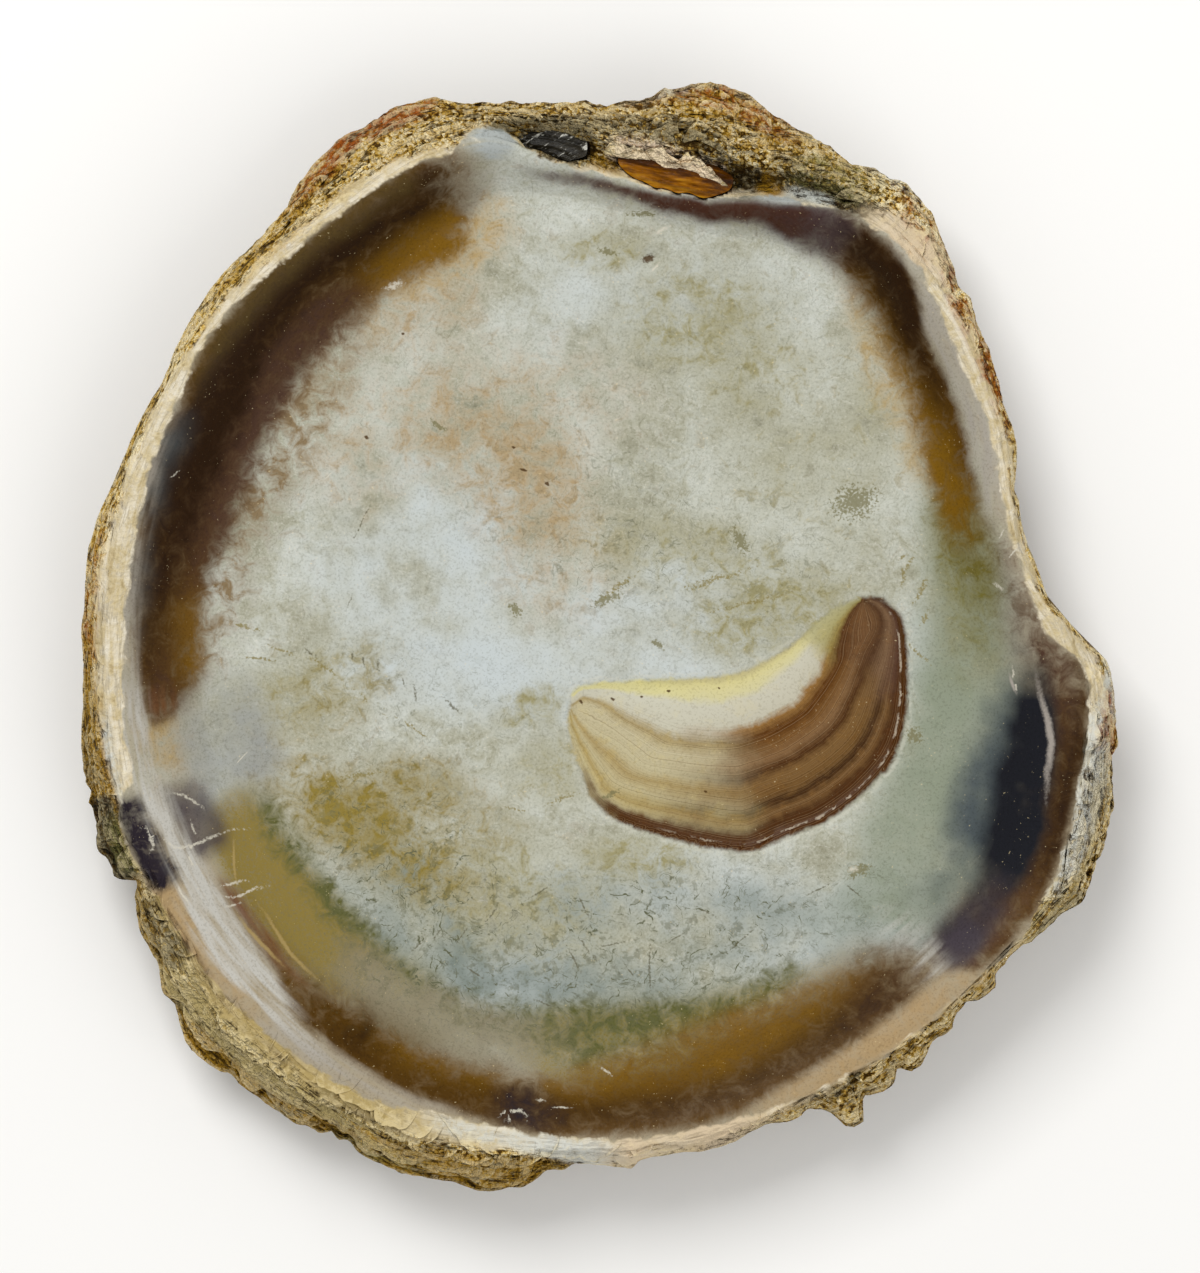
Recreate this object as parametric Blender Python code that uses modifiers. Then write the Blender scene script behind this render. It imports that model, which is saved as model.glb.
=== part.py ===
"""One valve of a large flat oyster, lying with its hollow inner face up.

The valve grew as one piece, so it is one solid: a thick, slightly dished plate of shell
with a raised rim, a sunken muscle scar, a hinge plate at the top and stepped growth scales
underneath. Two dried remnants of the hinge ligament, which is a horny material of its own,
sit in shallow sockets in the hinge plate.

The hinge is at +Y, the inner face looks up, and the worn patch that the valve rests on is
the plane z = 0. Angles run anticlockwise from +X round the middle of the shell. Lengths in
the tables are in millimetres.
"""

import math

import bmesh
import bpy
from mathutils import Matrix, Vector, noise

MM = 0.001

# Silhouette from above: (angle, radius)
OUTLINE = [
    (0, 41.1), (3, 39.2), (7, 38.1), (12, 37.3), (18, 37.5), (24, 38.9), (30, 39.7),
    (36, 41.2), (42, 42.8), (45, 43.1), (50, 45.3), (56, 46.7), (61, 46.1), (67, 46.5),
    (72, 47.4), (76, 48.3), (79, 48.4), (82, 47.5), (86, 46.1), (90, 45.5), (95, 46.0),
    (100, 46.3), (105, 47.5), (109, 48.7), (113, 48.6), (118, 48.0), (122, 47.1),
    (127, 45.3), (133, 44.7), (141, 44.3), (149, 43.3), (158, 43.5), (165, 43.7),
    (170, 44.4), (178, 44.2), (186, 44.5), (192, 45.4), (198, 46.1), (203, 46.7),
    (206, 46.4), (208, 45.2), (211, 46.5), (215, 47.1), (219, 48.3), (222, 48.7),
    (226, 49.9), (230, 49.3), (236, 49.2), (243, 48.5), (249, 49.0), (257, 48.7),
    (262, 47.7), (265, 45.8), (269, 45.3), (273, 45.6), (276, 44.8), (282, 44.9),
    (289, 44.1), (295, 44.8), (298, 47.3), (301, 45.4), (303, 46.0), (305, 44.9),
    (307, 45.8), (311, 45.2), (315, 44.3), (318, 45.1), (320, 44.4), (325, 45.3),
    (329, 46.2), (332, 47.3), (337, 46.8), (343, 45.9), (348, 45.3), (353, 44.3),
    (357, 43.4),
]

# Crest of the smooth rim; along the hinge it is the ridge between hollow and ligament
RIM = [
    (0, 39.5), (10, 36.3), (20, 36.6), (30, 38.4), (40, 40.1), (50, 41.3), (56, 41.8),
    (62, 41.2), (68, 39.8), (74, 38.4), (80, 38.1), (86, 38.7), (92, 40.1), (98, 41.8),
    (103, 43.4), (108, 43.3), (114, 43.0), (120, 42.4), (135, 42.1), (150, 41.7),
    (180, 41.7), (190, 42.0), (200, 42.5), (214, 43.1), (230, 43.7), (240, 44.2),
    (250, 44.6), (260, 43.7), (275, 43.4), (292, 42.9), (300, 42.7), (310, 43.1),
    (320, 43.3), (330, 44.0), (338, 42.9), (346, 42.0), (353, 41.3),
]

# Foot of the wall, where the floor of the hollow begins to rise
FOOT = [
    (0, 31.5), (15, 30.5), (30, 32.5), (45, 35.0), (55, 37.0), (65, 36.8), (75, 35.6),
    (85, 35.9), (95, 37.6), (103, 38.6), (110, 37.5), (120, 35.5), (135, 34.2),
    (150, 33.5), (165, 33.2), (180, 34.0), (195, 34.5), (210, 34.0), (225, 34.0),
    (240, 35.0), (255, 36.0), (270, 35.5), (285, 34.5), (300, 34.0), (315, 35.0),
    (330, 35.0), (345, 33.5),
]

# Heights of the floor in the middle, of the wall's foot, of the rim and of the edge
FLOOR_Z = 5.4
FOOT_Z = [
    (0, 7.0), (45, 7.5), (60, 8.3), (80, 8.9), (95, 9.0), (110, 8.2), (130, 7.2),
    (180, 6.9), (240, 6.9), (300, 6.9),
]
RIM_Z = [
    (0, 11.6), (30, 11.6), (50, 12.4), (60, 11.8), (68, 10.8), (78, 10.4), (90, 10.8),
    (99, 12.0), (108, 13.1), (118, 13.7), (130, 13.4), (160, 12.9), (180, 12.4),
    (205, 11.7), (225, 12.0), (250, 11.8), (270, 11.4), (290, 11.3), (310, 11.5),
    (330, 12.2), (348, 12.4),
]
EDGE_Z = [
    (0, 9.6), (20, 9.7), (40, 9.4), (56, 8.8), (70, 9.0), (80, 9.2), (90, 9.0), (110, 8.4),
    (125, 8.8), (150, 9.2), (180, 8.2), (205, 6.8), (225, 5.9), (245, 5.9), (260, 6.4),
    (270, 8.2), (285, 8.4), (300, 7.2), (315, 7.8), (330, 7.2), (345, 7.8), (355, 9.0),
]
FLOOR_WAVES = (0.25, 24.0)  # height and size of the slow unevenness of the floor

# The hinge plate beyond the ridge: how strongly it shows round the shell, and its relief
HINGE = [
    (50, 0.0), (60, 0.3), (68, 1.0), (80, 1.0), (98, 1.0), (104, 0.4), (112, 0.0),
    (200, 0.0), (300, 0.0),
]
GROOVE = (0.24, 0.24, 1.2)  # share of the way out, half width and depth
PLATE = (0.62, 0.36, 2.0)   # the same of the rough plate behind it, with its height

# Broken ledges on the margin: share of the way out to each, and its drop
LEDGES = [(0.20, 0.5), (0.45, 0.9), (0.72, 0.9)]
LEDGE_FACE = 0.09      # how wide the drop is, as a share of the margin
LEDGE_SWAY = 0.09      # how unevenly the ledges run
LEDGE_STRENGTH = [
    (0, 0.1), (20, 0.1), (35, 0.4), (60, 0.5), (85, 0.5), (110, 0.8), (140, 0.6),
    (180, 0.7), (200, 1.1), (212, 1.4), (260, 1.4), (270, 0.3), (290, 0.6), (310, 0.9),
    (330, 1.2), (345, 1.1), (355, 0.2),
]
ROUGH = (0.9, 2.8)     # height and size of the rubble of the margin

# The outer face, which looks down
UMBO = (4.0, 36.0)     # where growth began, and the centre of the growth scales
YOUNG_RADIUS = 44.0    # the young shell was rounder than the outline is now
RESTING_SHARE = 0.34   # part of the radius over which the underside is level
UNDER_CURVE = 1.9      # how late the underside turns up towards the margin
WORN_CENTRE = (-1.0, -5.0)
WORN_HALF = (19.0, 16.0)  # half width and half length of the patch worn flat
WEAR_DEPTH = 0.45      # how far the wear has cut into the lowest scales
UNDER_WAVES = (0.25, 5.0)  # height and size of the unevenness on the scales

# The scales: share of the full outline that each one's edge has reached, and how far its
# edge stands out from the next one
SCALES = [
    (0.30, 0.9), (0.44, 0.8), (0.56, 1.1), (0.67, 0.9), (0.77, 1.2), (0.86, 1.0), (0.94, 1.0),
]
SCALE_LIP = 0.012      # width of the drop at a scale's edge
SCALE_SWAY = 0.022     # how unevenly a scale's edge runs, as a share of its reach

# The muscle scar: stations along its hollow upper edge and its bulging lower edge
SCAR_UPPER = [
    (-2.6, -7.2), (0.2, -4.5), (5.0, -4.1), (9.4, -3.9), (13.7, -2.0), (17.9, 0.7), (22.2, 3.3),
]
SCAR_LOWER = [
    (-1.8, -10.2), (0.3, -14.1), (6.4, -17.4), (13.2, -18.4), (20.6, -14.7), (26.0, -7.4),
    (25.2, 2.4),
]
SCAR_DEPTH = (0.35, 0.8)  # at its upper and its lower edge

# Round pits: place, radius and depth
MUSCLE_PIT = ((4.1, 32.3), 0.6, 0.45)
HINGE_PIT = ((12.3, 38.8), 1.1, 1.0)

# Ligament remnants: angles of the two ends, distance out from the ridge, half width, and
# the heights of the flat underside and of the top
AMBER = {"ends": (74.0, 87.5), "out": 1.75, "half": 1.25, "low": 8.7, "high": 10.6}
BLACK = {"ends": (91.8, 99.6), "out": 1.75, "half": 1.45, "low": 9.0, "high": 11.3}
LIGAMENT_POINTS = 22   # round the outline of a remnant
LIGAMENT_BEVEL = 0.4
SOCKET_GAP = 0.3       # between a remnant and the shell all round it
OPEN_ABOVE = 6.0       # how far a cutter goes on above the surface it cuts

# How the surfaces are divided: shares of the rings that lie inside the foot and the crest
FOOT_RING = 0.44
RIM_RING = 0.66
WELD = 1e-6


def at(stations, angle):
    """The value at an angle in degrees, on a smooth closed curve through the stations."""
    count = len(stations)
    angle %= 360.0
    after = next((i for i, (a, _) in enumerate(stations) if a > angle), 0)
    around = [stations[(after + step) % count] for step in (-2, -1, 0, 1)]
    span = (around[2][0] - around[1][0]) % 360.0
    t = ((angle - around[1][0]) % 360.0) / span
    before, first, second, beyond = (value for _, value in around)
    gap_before = (around[1][0] - around[0][0]) % 360.0
    gap_after = (around[3][0] - around[2][0]) % 360.0
    slope_first = (second - before) / (span + gap_before) * span
    slope_second = (beyond - first) / (span + gap_after) * span
    return (
        (2 * t**3 - 3 * t**2 + 1) * first
        + (t**3 - 2 * t**2 + t) * slope_first
        + (3 * t**2 - 2 * t**3) * second
        + (t**3 - t**2) * slope_second
    )


def smooth(t):
    """Eases from 0 to 1."""
    t = min(1.0, max(0.0, t))
    return t * t * (3 - 2 * t)


def hump(t, middle, half):
    """1 at the middle, falling to 0 at half to either side."""
    return smooth(1 - abs(t - middle) / half)


def mix(a, b, t):
    return a + (b - a) * t


def grain(x, y, size, layer):
    """Smooth unevenness from about -1 to 1, in bumps of the given size."""
    return noise.noise(Vector((x / size, y / size, layer * 7.3)))


def sway(angle, layer):
    """A wandering value from about -1 to 1 that closes on itself round the shell."""
    turn = math.radians(angle)
    return noise.noise(Vector((3 * math.cos(turn), 3 * math.sin(turn), layer * 5.0)))


def polar(radius, angle):
    turn = math.radians(angle)
    return radius * math.cos(turn), radius * math.sin(turn)


def angle_of(x, y):
    return math.degrees(math.atan2(y, x))


def ledge_drop(angle, share):
    """How far the broken layers of the margin have stepped down from an even slope."""
    drop = 0.0
    for index, (place, height) in enumerate(LEDGES):
        edge = place + LEDGE_SWAY * sway(angle * 3, index + 11)
        drop += height * (smooth((share - edge) / LEDGE_FACE) - share)
    return at(LEDGE_STRENGTH, angle) * drop


def inner_height(x, y):
    """Height of the face that looks up: floor, wall, and the rough margin past the rim."""
    angle, radius = angle_of(x, y), math.hypot(x, y)
    foot, rim, outer = at(FOOT, angle), at(RIM, angle), at(OUTLINE, angle)
    waves = FLOOR_WAVES[0] * grain(x, y, FLOOR_WAVES[1], 1)
    if radius <= foot:
        return mix(FLOOR_Z, at(FOOT_Z, angle), (radius / foot) ** 2) + waves
    if radius <= rim:
        share = (radius - foot) / (rim - foot)
        rise = mix(smooth(share), math.sin(share * math.pi / 2), 0.45)
        return mix(at(FOOT_Z, angle), at(RIM_Z, angle), rise) + waves * (1 - share)
    share = min(1.0, (radius - rim) / (outer - rim))
    z = mix(at(RIM_Z, angle), at(EDGE_Z, angle), share**1.5)
    relief = PLATE[2] * hump(share, *PLATE[:2]) - GROOVE[2] * hump(share, *GROOVE[:2])
    z += max(0.0, at(HINGE, angle)) * relief
    z -= ledge_drop(angle, share)
    return z + ROUGH[0] * grain(x, y, ROUGH[1], 2) * hump(share, 0.5, 0.5)


def inner_face(ring, angle):
    """A point of the face that looks up. Its rings run along the wall's foot, the rim and
    the outline."""
    foot, rim, outer = at(FOOT, angle), at(RIM, angle), at(OUTLINE, angle)
    if ring <= FOOT_RING:
        radius = foot * ring / FOOT_RING
    elif ring <= RIM_RING:
        radius = mix(foot, rim, (ring - FOOT_RING) / (RIM_RING - FOOT_RING))
    else:
        radius = mix(rim, outer, (ring - RIM_RING) / (1 - RIM_RING))
    x, y = polar(radius, angle)
    if ring >= 1:
        return x, y, at(EDGE_Z, angle)
    return x, y, inner_height(x, y)


def scale_edge(index, angle):
    """How far out the edge of one scale lies, as a share of the outline."""
    return SCALES[index][0] * (1 + SCALE_SWAY * sway(angle, index))


def scale_relief(share, angle):
    """How far the scales stand back from their own edges: 0 at an edge, more behind it."""
    start, end, step = 0.0, 1.04, 0.8
    for index, (_, height) in enumerate(SCALES):
        edge = scale_edge(index, angle)
        if share <= edge:
            end, step = edge, height
            break
        start = edge
    return step * (1 - smooth((share - start) / (end - start)) ** 0.8)


def under_height(x, y, share, angle):
    """Height of the face that looks down. The lowest scales are worn flat. The share and
    the angle are those of the growth line on which the place lies."""
    around = angle_of(x, y)
    reach = math.hypot(x, y) / at(OUTLINE, around)
    rise = min(1.0, max(0.0, (reach - RESTING_SHARE) / (1 - RESTING_SHARE)))
    z = at(EDGE_Z, around) * rise**UNDER_CURVE - WEAR_DEPTH * (1 - smooth((reach - 0.5) / 0.5))
    worn = math.hypot((x - WORN_CENTRE[0]) / WORN_HALF[0], (y - WORN_CENTRE[1]) / WORN_HALF[1])
    kept = smooth((worn - 0.75) / 0.35) * (1 - smooth((reach - 0.93) / 0.07))
    waves = UNDER_WAVES[0] * grain(x, y, UNDER_WAVES[1], 4)
    return max(0.0, z + kept * (scale_relief(share, angle) + waves))


def outer_rings():
    """Growth lines that the outer face's rings follow, as shares of the outline: a close
    pair at each scale's edge, and one between two scales."""
    shares = [0.0, SCALES[0][0] / 2]
    for index, (edge, _) in enumerate(SCALES):
        following = SCALES[index + 1][0] if index + 1 < len(SCALES) else 1.0
        shares += [edge - 0.001, edge + SCALE_LIP, (edge + following) / 2]
    return shares + [1.0]


def outer_face(ring, angle):
    """A point of the face that looks down. Its rings are the growth lines, which widen
    from the umbo to the whole outline."""
    shares = outer_rings()
    place = ring * (len(shares) - 1)
    index = min(int(place + WELD), len(shares) - 2)
    share = mix(shares[index], shares[index + 1], place - index)
    if ring >= 1:
        return (*polar(at(OUTLINE, angle), angle), at(EDGE_Z, angle))
    nearest = min(range(len(SCALES)), key=lambda i: abs(SCALES[i][0] - share))
    share *= scale_edge(nearest, angle) / SCALES[nearest][0]
    edge_x, edge_y = polar(mix(YOUNG_RADIUS, at(OUTLINE, angle), share**2), angle)
    x, y = mix(UMBO[0], edge_x, share), mix(UMBO[1], edge_y, share)
    return x, y, under_height(x, y, share, angle)


def wrap(across, along):
    """Turns a place on the square sheet into a ring from 0 to 1 and an angle in degrees."""
    ring = max(abs(across), abs(along))
    if ring < WELD:
        return 0.0, 0.0
    if abs(across) >= abs(along):
        return min(1.0, ring), 45 * along / across + (0 if across > 0 else 180)
    return min(1.0, ring), 90 - 45 * across / along + (0 if along > 0 else 180)


def finished(name, mesh, material, collection):
    """A bmesh made into a named object."""
    bmesh.ops.recalc_face_normals(mesh, faces=mesh.faces)
    data = bpy.data.meshes.new(name)
    mesh.to_mesh(data)
    mesh.free()
    data.shade_smooth()
    if material:
        data.materials.append(material)
    made = bpy.data.objects.new(name, data)
    collection.objects.link(made)
    return made


def make_valve(material, collection):
    """Two square sheets, wrapped into the inner and the outer face and joined at the edge."""
    cells = 2 * (len(outer_rings()) - 1)
    mesh = bmesh.new()
    for face in (inner_face, outer_face):
        sheet = bmesh.ops.create_grid(mesh, x_segments=cells, y_segments=cells, size=1)
        for vertex in sheet["verts"]:
            vertex.co = MM * Vector(face(*wrap(vertex.co.x, vertex.co.y)))
    bmesh.ops.remove_doubles(mesh, verts=mesh.verts, dist=WELD)
    return finished("valve", mesh, material, collection)


def curve_point(points, t):
    """A point at t from 0 to 1 along a smooth open line through the points."""
    place = t * (len(points) - 1)
    index = min(int(place), len(points) - 2)
    local = place - index
    picks = [points[min(max(index + step, 0), len(points) - 1)] for step in (-1, 0, 1, 2)]
    before, first, second, after = (Vector(p) for p in picks)
    return 0.5 * (
        2 * first
        + (second - before) * local
        + (2 * before - 5 * first + 4 * second - after) * local**2
        + (3 * first - before - 3 * second + after) * local**3
    )


def make_scar_cutter(collection):
    """The crescent where the closing muscle was fixed: a strip between its two edges, sunk
    a little below the floor and carried up past it."""
    mesh = bmesh.new()
    bmesh.ops.create_grid(mesh, x_segments=2 * (len(SCAR_UPPER) - 1), y_segments=4, size=1)
    for vertex in mesh.verts:
        along, across = (vertex.co.x + 1) / 2, (vertex.co.y + 1) / 2
        x, y = curve_point(SCAR_UPPER, along).lerp(curve_point(SCAR_LOWER, along), across)
        vertex.co = MM * Vector((x, y, inner_height(x, y) - mix(*SCAR_DEPTH, across)))
    raised = bmesh.ops.extrude_face_region(mesh, geom=mesh.faces[:])["geom"]
    lift = [part for part in raised if isinstance(part, bmesh.types.BMVert)]
    bmesh.ops.translate(mesh, verts=lift, vec=(0, 0, OPEN_ABOVE * MM))
    return finished("cut_scar", mesh, None, collection)


def make_pit_cutter(name, pit, collection):
    """A ball that sinks into the inner face to the pit's depth."""
    (x, y), radius, depth = pit
    mesh = bmesh.new()
    place = Matrix.Translation(MM * Vector((x, y, inner_height(x, y) - depth + radius)))
    bmesh.ops.create_icosphere(mesh, subdivisions=2, radius=radius * MM, matrix=place)
    return finished(name, mesh, None, collection)


def ligament_outline(piece, margin):
    """The outline of a ligament remnant from above: a band that follows the hinge ridge
    and narrows to rounded ends. The margin widens it all round."""
    first, last = piece["ends"]
    middle = (first + last) / 2
    reach = (last - first) / 2 + math.degrees(margin / at(RIM, middle))
    outline = []
    for index in range(LIGAMENT_POINTS):
        turn = 2 * math.pi * index / LIGAMENT_POINTS
        angle = middle + reach * math.cos(turn)
        bulge = math.copysign(abs(math.sin(turn)) ** 0.7, math.sin(turn))
        radius = at(RIM, angle) + piece["out"] + (piece["half"] + margin) * bulge
        outline.append(polar(radius, angle))
    return outline


def make_band(name, outline, low, high, material, collection):
    """A flat outline given thickness, as a closed mesh."""
    curve = bpy.data.curves.new(name, "CURVE")
    curve.dimensions = "2D"
    curve.fill_mode = "BOTH"
    curve.extrude = (high - low) / 2 * MM
    spline = curve.splines.new("POLY")
    spline.points.add(len(outline) - 1)
    for point, (x, y) in zip(spline.points, outline):
        point.co = (x * MM, y * MM, 0, 1)
    spline.use_cyclic_u = True
    flat = bpy.data.objects.new(name + "_outline", curve)
    flat.location.z = (low + high) / 2 * MM
    collection.objects.link(flat)
    bpy.context.view_layer.update()
    evaluated = flat.evaluated_get(bpy.context.evaluated_depsgraph_get())
    solid = bpy.data.meshes.new_from_object(evaluated)
    mesh = bmesh.new()
    mesh.from_mesh(solid)
    mesh.transform(flat.matrix_world)
    bmesh.ops.remove_doubles(mesh, verts=mesh.verts, dist=WELD)
    bpy.data.meshes.remove(solid)
    bpy.data.objects.remove(flat)
    return finished(name, mesh, material, collection)


def make_ligament(name, piece, material, parts, cutters):
    """A dried remnant with softened edges, and the cutter for its socket in the hinge."""
    low, high = piece["low"], piece["high"]
    band = make_band(name, ligament_outline(piece, 0), low, high, material, parts)
    bevel = band.modifiers.new("softened", "BEVEL")
    bevel.width = LIGAMENT_BEVEL * MM
    bevel.segments = 2
    socket_outline = ligament_outline(piece, SOCKET_GAP)
    return make_band(
        "cut_" + name, socket_outline, low - SOCKET_GAP, high + OPEN_ABOVE, None, cutters
    )


def cut(target, cutter):
    """Takes the cutter's shape out of the target."""
    cutter.hide_render = True
    cutter.display_type = "WIRE"
    boolean = target.modifiers.new(cutter.name, "BOOLEAN")
    boolean.operation = "DIFFERENCE"
    boolean.object = cutter


def make_material(name, colour, roughness):
    material = bpy.data.materials.new(name)
    material.use_nodes = True
    shader = material.node_tree.nodes["Principled BSDF"]
    shader.inputs["Base Color"].default_value = (*colour, 1)
    shader.inputs["Roughness"].default_value = roughness
    shader.inputs["Metallic"].default_value = 0
    return material


def make_collection(name):
    collection = bpy.data.collections.new(name)
    bpy.context.scene.collection.children.link(collection)
    return collection


def main():
    for old in list(bpy.data.objects):
        bpy.data.objects.remove(old)
    parts = make_collection("oyster_shell")
    cutters = make_collection("cutters")
    shell = make_material("shell", (0.48, 0.47, 0.40), 0.45)
    amber = make_material("amber_ligament", (0.28, 0.13, 0.01), 0.3)
    black = make_material("black_ligament", (0.02, 0.02, 0.015), 0.35)

    valve = make_valve(shell, parts)
    cut(valve, make_scar_cutter(cutters))
    cut(valve, make_pit_cutter("cut_muscle_pit", MUSCLE_PIT, cutters))
    cut(valve, make_pit_cutter("cut_hinge_pit", HINGE_PIT, cutters))
    cut(valve, make_ligament("ligament_amber", AMBER, amber, parts, cutters))
    cut(valve, make_ligament("ligament_black", BLACK, black, parts, cutters))


main()
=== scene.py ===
# The looks of one valve of a large flat oyster, lying with its hollow inner face up
import math

import bpy
import numpy as np
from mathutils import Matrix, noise


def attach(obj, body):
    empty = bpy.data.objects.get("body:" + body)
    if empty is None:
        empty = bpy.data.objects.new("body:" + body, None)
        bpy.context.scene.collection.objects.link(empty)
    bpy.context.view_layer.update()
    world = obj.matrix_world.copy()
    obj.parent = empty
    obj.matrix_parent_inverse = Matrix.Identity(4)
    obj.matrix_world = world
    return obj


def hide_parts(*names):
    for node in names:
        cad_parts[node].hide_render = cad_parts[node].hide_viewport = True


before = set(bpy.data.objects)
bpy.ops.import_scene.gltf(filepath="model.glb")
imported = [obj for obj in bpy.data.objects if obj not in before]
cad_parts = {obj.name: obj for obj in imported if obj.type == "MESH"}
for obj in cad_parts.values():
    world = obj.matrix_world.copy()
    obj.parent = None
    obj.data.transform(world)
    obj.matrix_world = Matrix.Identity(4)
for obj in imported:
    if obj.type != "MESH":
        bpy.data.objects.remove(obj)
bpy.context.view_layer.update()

mm = 0.001

# The picture: which pixel lies over the middle of the shell, and its scale.
# The shell is 95 mm from hinge to lower margin, over 1113 pixels.
picture = {
    "middle": (600.0, 636.5),
    "size": (1200, 1273),
    "mmPerPixel": 95.0 / 1113.0,
}
px = picture["mmPerPixel"]


# Numbers: curves and noise

def onCurve(stations, angles):
    # value at each angle in degrees, on a smooth closed curve through the stations
    place = np.array([s[0] for s in stations], float)
    value = np.array([s[1] for s in stations], float)
    place = np.concatenate([place[-2:] - 360, place, place[:2] + 360])
    value = np.concatenate([value[-2:], value, value[:2]])
    angles = np.asarray(angles, float) % 360
    i = np.clip(np.searchsorted(place, angles, side="right") - 1, 1, len(place) - 3)
    span = place[i + 1] - place[i]
    t = (angles - place[i]) / span
    slopeIn = (value[i + 1] - value[i - 1]) / (place[i + 1] - place[i - 1]) * span
    slopeOut = (value[i + 2] - value[i]) / (place[i + 2] - place[i]) * span
    return (
        (2 * t**3 - 3 * t**2 + 1) * value[i]
        + (t**3 - 2 * t**2 + t) * slopeIn
        + (3 * t**2 - 2 * t**3) * value[i + 1]
        + (t**3 - t**2) * slopeOut
    )


def onLine(stations, angles, column=1):
    # the same on straight runs between the stations, for rows with several values
    place = [s[0] for s in stations]
    return np.interp(angles, place, [s[column] for s in stations], period=360)


def ease(t):
    t = np.clip(t, 0, 1)
    return t * t * (3 - 2 * t)


def mix(a, b, t):
    return a + (b - a) * t


def hump(t, middle, half):
    return ease(1 - np.abs(t - middle) / half)


def grain(x, y, size, layer):
    # smooth unevenness from about -1 to 1, in bumps of the given size in mm
    level = layer * 7.3
    spots = np.stack([x / size, y / size], -1).reshape(-1, 2).tolist()
    return np.array([noise.noise((a, b, level)) for a, b in spots]).reshape(np.shape(x))


def sway(angle, layer):
    # a wandering value that closes on itself round the shell
    turn = np.radians(angle)
    return grain(3 * np.cos(turn), 3 * np.sin(turn), 1.0, layer * 5.0 / 7.3)


def terrace(z, step, riser, wobble):
    # a slope broken into flat steps, with risers that take only a part of each step
    q = z / step + wobble
    whole = np.floor(q)
    return (whole + ease((q - whole - 1 + riser) / riser) - wobble) * step


# The valve

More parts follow.
